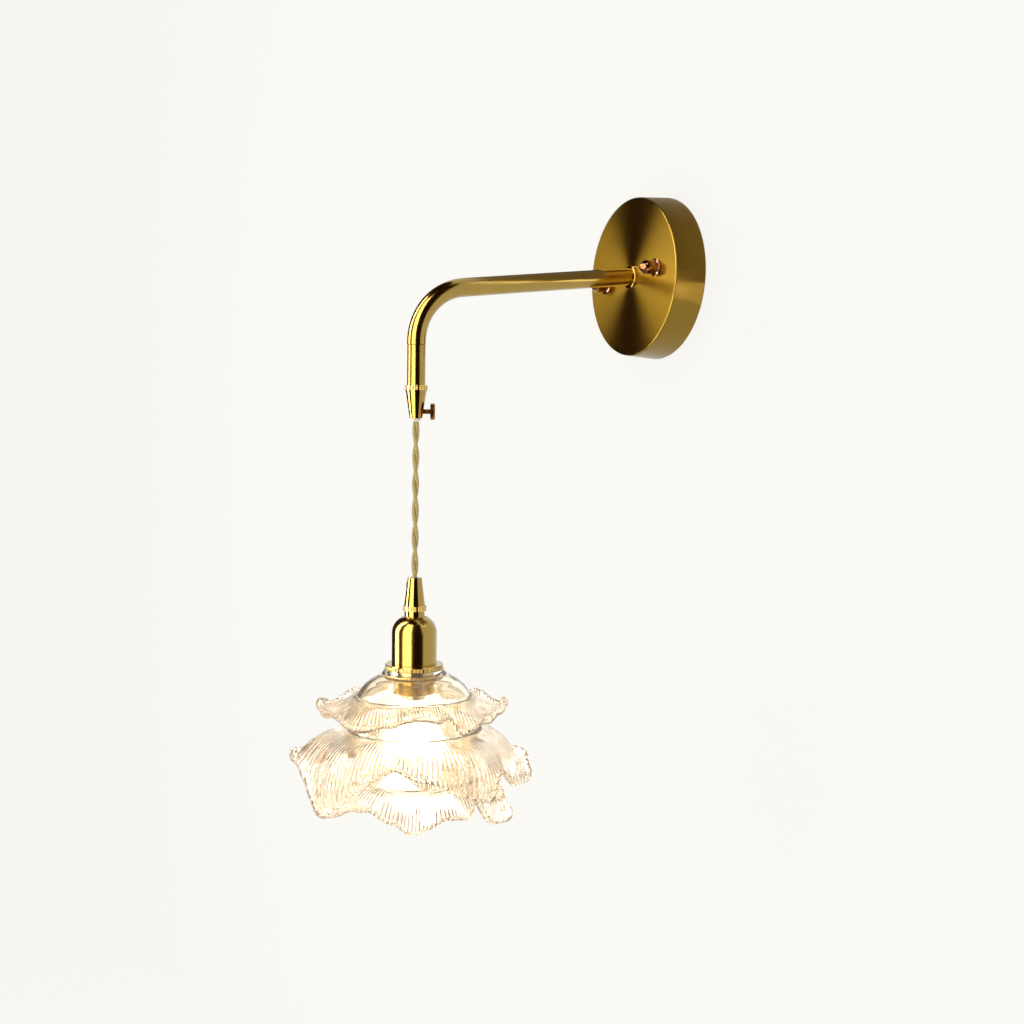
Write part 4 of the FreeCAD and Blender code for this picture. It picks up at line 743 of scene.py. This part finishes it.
pieces = {
    "glass_tier_" + name: petal_tier(name + "_petals", tier, seed)
    for seed, (name, tier) in enumerate(TIERS.items(), start=1)
}
inside = [(radius - BELL_THICK, depth + INSIDE_DROP) for radius, depth in BELL[3:-1]]
inside = [(NECK_INSIDE, NECK_FOOT)] + inside + [(BELL[-1][0] - BELL_THICK, BELL[-1][1])]
bell_outline = (
    [(NECK_BORE, NECK_TOP), (NECK_EDGE, NECK_TOP)] + smooth_line(BELL)
    + smooth_line(inside)[::-1] + [(NECK_BORE, NECK_FOOT)]
)
verts, faces = turned_mesh(bell_outline, BELL_STEPS)
plain_uvs = [[(0.0, 0.0)] * 4] * len(faces)
pieces["glass_bell"] = mesh_piece("bell_glass", verts, faces, glass, plain_uvs)
pieces["glass_bell"].data.set_sharp_from_angle(angle=BELL_SHARP)
for node, piece in pieces.items():
    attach(piece, "pendant")
    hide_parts(node)

# ---- wall, floor and light -------------------------------------------------------------------
# A pale studio: a wall behind the canopy and a floor far below, two soft lamps on the left, and white
# and black cards round the object that only reflections and the glass see, as for polished metal.
PALE = "#F9F8F4"


def seen_by(tree, camera, glossy, transmission):
    """A share that depends on what kind of ray looks, as a socket."""
    rays = add_node(tree, "ShaderNodeLightPath")
    total = product(tree, rays.outputs["Is Camera Ray"], camera)
    for ray, share in (("Is Glossy Ray", glossy), ("Is Transmission Ray", transmission)):
        part = product(tree, rays.outputs[ray], share)
        total = add_node(tree, "ShaderNodeMath", {0: total, 1: part}).outputs[0]
    return total


def pale_paper(name, in_reflections):
    """Paper that keeps a soft shadow, is as strong in reflections as given, and is clear from behind."""
    paper = bpy.data.materials.new(name)
    paper.use_nodes = True
    tree = paper.node_tree
    tree.nodes.remove(tree.nodes["Principled BSDF"])
    lit = add_node(tree, "ShaderNodeBsdfDiffuse", {"Color": linear(PALE)})
    plain = add_node(tree, "ShaderNodeEmission", {
        "Color": linear(PALE),
        "Strength": seen_by(tree, camera=1.0, glossy=in_reflections, transmission=0.93)})
    mixed = add_node(tree, "ShaderNodeMixShader", {
        0: seen_by(tree, camera=0.9, glossy=1.0, transmission=1.0),
        1: lit.outputs[0], 2: plain.outputs[0]})
    behind = add_node(tree, "ShaderNodeNewGeometry")
    clear = add_node(tree, "ShaderNodeBsdfTransparent")
    one_sided = add_node(tree, "ShaderNodeMixShader", {
        0: behind.outputs["Backfacing"], 1: mixed.outputs["Shader"], 2: clear.outputs["BSDF"]})
    tree.links.new(one_sided.outputs["Shader"], tree.nodes["Material Output"].inputs["Surface"])
    return paper


def stage_sheet(name, corners, material):
    """A flat sheet of the studio, which isn't part of the object."""
    mesh_piece(name, corners, [tuple(range(len(corners)))], material)


WALL_HALF, FLOOR_DEPTH, WALL_PLANE = 30.0, -1.2, 0.0006
stage_sheet("wall", [
    (-WALL_HALF, WALL_PLANE, FLOOR_DEPTH), (WALL_HALF, WALL_PLANE, FLOOR_DEPTH),
    (WALL_HALF, WALL_PLANE, WALL_HALF), (-WALL_HALF, WALL_PLANE, WALL_HALF),
], pale_paper("wall_paper", 0.9))
stage_sheet("floor", [
    (-WALL_HALF, -2 * WALL_HALF, FLOOR_DEPTH), (WALL_HALF, -2 * WALL_HALF, FLOOR_DEPTH),
    (WALL_HALF, WALL_PLANE, FLOOR_DEPTH), (-WALL_HALF, WALL_PLANE, FLOOR_DEPTH),
], pale_paper("floor_paper", 0.15))

world = bpy.data.worlds.new("studio")
bpy.context.scene.world = world
world.use_nodes = True
tree = world.node_tree
tree.nodes.clear()
glow = add_node(tree, "ShaderNodeBackground", {"Color": linear("#FFFDF8"), "Strength": 0.75})
plain = add_node(tree, "ShaderNodeBackground", {"Color": linear(PALE), "Strength": 1.0})
mixed = add_node(tree, "ShaderNodeMixShader", {
    0: seen_by(tree, camera=1.0, glossy=1.0, transmission=1.0),
    1: glow.outputs[0], 2: plain.outputs[0]})
add_node(tree, "ShaderNodeOutputWorld", {"Surface": mixed.outputs[0]})

STUDIO_CENTRE = Vector((0.0, -0.14, -0.16))
LAMP_AWAY, CARD_AWAY = 1.5, 1.8
TO_CAMERA = Vector((-look.x, -look.y, 0)).normalized()
TO_LEFT = Vector((-level_right.x, -level_right.y, 0))


def studio_direction(around, rise):
    """Unit direction at degrees towards the picture's left from the camera, and above the horizon."""
    level = math.cos(math.radians(around)) * TO_CAMERA + math.sin(math.radians(around)) * TO_LEFT
    return math.cos(math.radians(rise)) * level + math.sin(math.radians(rise)) * Vector((0, 0, 1))


def soft_lamp(name, around, rise, size, watts):
    """A rectangular lamp that faces the object."""
    data = bpy.data.lights.new(name, "AREA")
    data.shape = "RECTANGLE"
    data.size, data.size_y = size
    data.energy = watts
    data.color = linear("#FFFBF2")[:3]
    lamp = bpy.data.objects.new(name, data)
    out = studio_direction(around, rise)
    lamp.location = STUDIO_CENTRE + LAMP_AWAY * out
    lamp.rotation_mode = "QUATERNION"
    lamp.rotation_quaternion = (-out).to_track_quat("-Z", "Y")
    lamp.visible_camera = False
    lamp.visible_glossy = False
    bpy.context.scene.collection.objects.link(lamp)


soft_lamp("left_lamp", around=100, rise=4, size=(0.45, 0.9), watts=8)
soft_lamp("front_lamp", around=38, rise=10, size=(0.6, 0.9), watts=4)
CARD_COLUMNS, CARD_ROWS = 24, 12
BRIGHTEST_IN_GLASS = 1.1


def reflector_card(name, spot, code, strength):
    """A card for reflections and the glass; spot gives its points from two shares of 0 to 1."""
    card_paint = bpy.data.materials.new(name)
    card_paint.use_nodes = True
    tree = card_paint.node_tree
    tree.nodes.clear()
    paint = add_node(tree, "ShaderNodeEmission", {
        "Color": linear(code),
        "Strength": seen_by(
            tree, camera=0.0, glossy=strength, transmission=min(strength, BRIGHTEST_IN_GLASS))})
    add_node(tree, "ShaderNodeOutputMaterial", {"Surface": paint.outputs[0]})
    verts = [
        spot(column / CARD_COLUMNS, row / CARD_ROWS)
        for row in range(CARD_ROWS + 1) for column in range(CARD_COLUMNS + 1)
    ]
    across = CARD_COLUMNS + 1
    faces = [
        (start, start + 1, start + across + 1, start + across)
        for row in range(CARD_ROWS) for start in range(row * across, row * across + CARD_COLUMNS)
    ]
    card = mesh_piece(name, verts, faces, card_paint)
    card.visible_camera = False
    card.visible_diffuse = False
    card.visible_shadow = False


def round_card(name, around, rise, code, strength):
    """A card curved round the object, between two headings and two rises."""
    def spot(across, up):
        return STUDIO_CENTRE + CARD_AWAY * studio_direction(
            around[0] + (around[1] - around[0]) * across, rise[0] + (rise[1] - rise[0]) * up)
    reflector_card(name, spot, code, strength)


def wall_card(name, turn, reach, slant, code, strength):
    """A sector on the wall about the arm's foot, between two turns above +X, slanting as it goes out."""
    def spot(across, out):
        angle = math.radians(turn[0] + (turn[1] - turn[0]) * across + slant * out)
        radius = reach[0] + (reach[1] - reach[0]) * out
        return Vector((radius * math.cos(angle), WALL_PLANE / 2, radius * math.sin(angle)))
    reflector_card(name, spot, code, strength)


SOFT_WHITE, OLIVE, BLACK = "#FFF6E6", "#8A8070", "#2A1C10"
SIDE_RISE = (-60, 60)
for name, around, rise, code, strength in (
    ("card_behind", (104, 181), SIDE_RISE, BLACK, 2.2),
    ("card_left", (83, 104), SIDE_RISE, SOFT_WHITE, 10.0),
    ("card_between", (57, 83), SIDE_RISE, BLACK, 1.0),
    ("card_lamp", (12, 57), SIDE_RISE, SOFT_WHITE, 4.5),
    ("card_front", (-51, 12), SIDE_RISE, BLACK, 1.0),
    ("card_above", (-180, 180), (60, 90), BLACK, 1.0),
):
    round_card(name, around, rise, code, strength)

# Reaches of the cards that the arm shows, and of those round the canopy's side.
ARM_SHOWS, RIM_SHOWS, ARM_SLANT = (0.09, 0.42), (0.061, 0.09), 75
for name, turn, reach, slant, code, strength in (
    ("card_olive", (-13, 110), ARM_SHOWS, ARM_SLANT, OLIVE, 1.0),
    ("card_top", (110, 150), ARM_SHOWS, ARM_SLANT, BLACK, 1.0),
    ("card_glint", (-26, -13), ARM_SHOWS, ARM_SLANT, SOFT_WHITE, 2.4),
    ("card_rim_olive", (-8, 190), RIM_SHOWS, 0, OLIVE, 1.7),
    ("card_rim_glint", (-24, -8), RIM_SHOWS, 0, SOFT_WHITE, 1.3),
    ("card_far_dark", (-60, 60), (0.62, 3.0), 0, BLACK, 1.0),
):
    wall_card(name, turn, reach, slant, code, strength)

bpy.context.scene.view_settings.view_transform = "Standard"
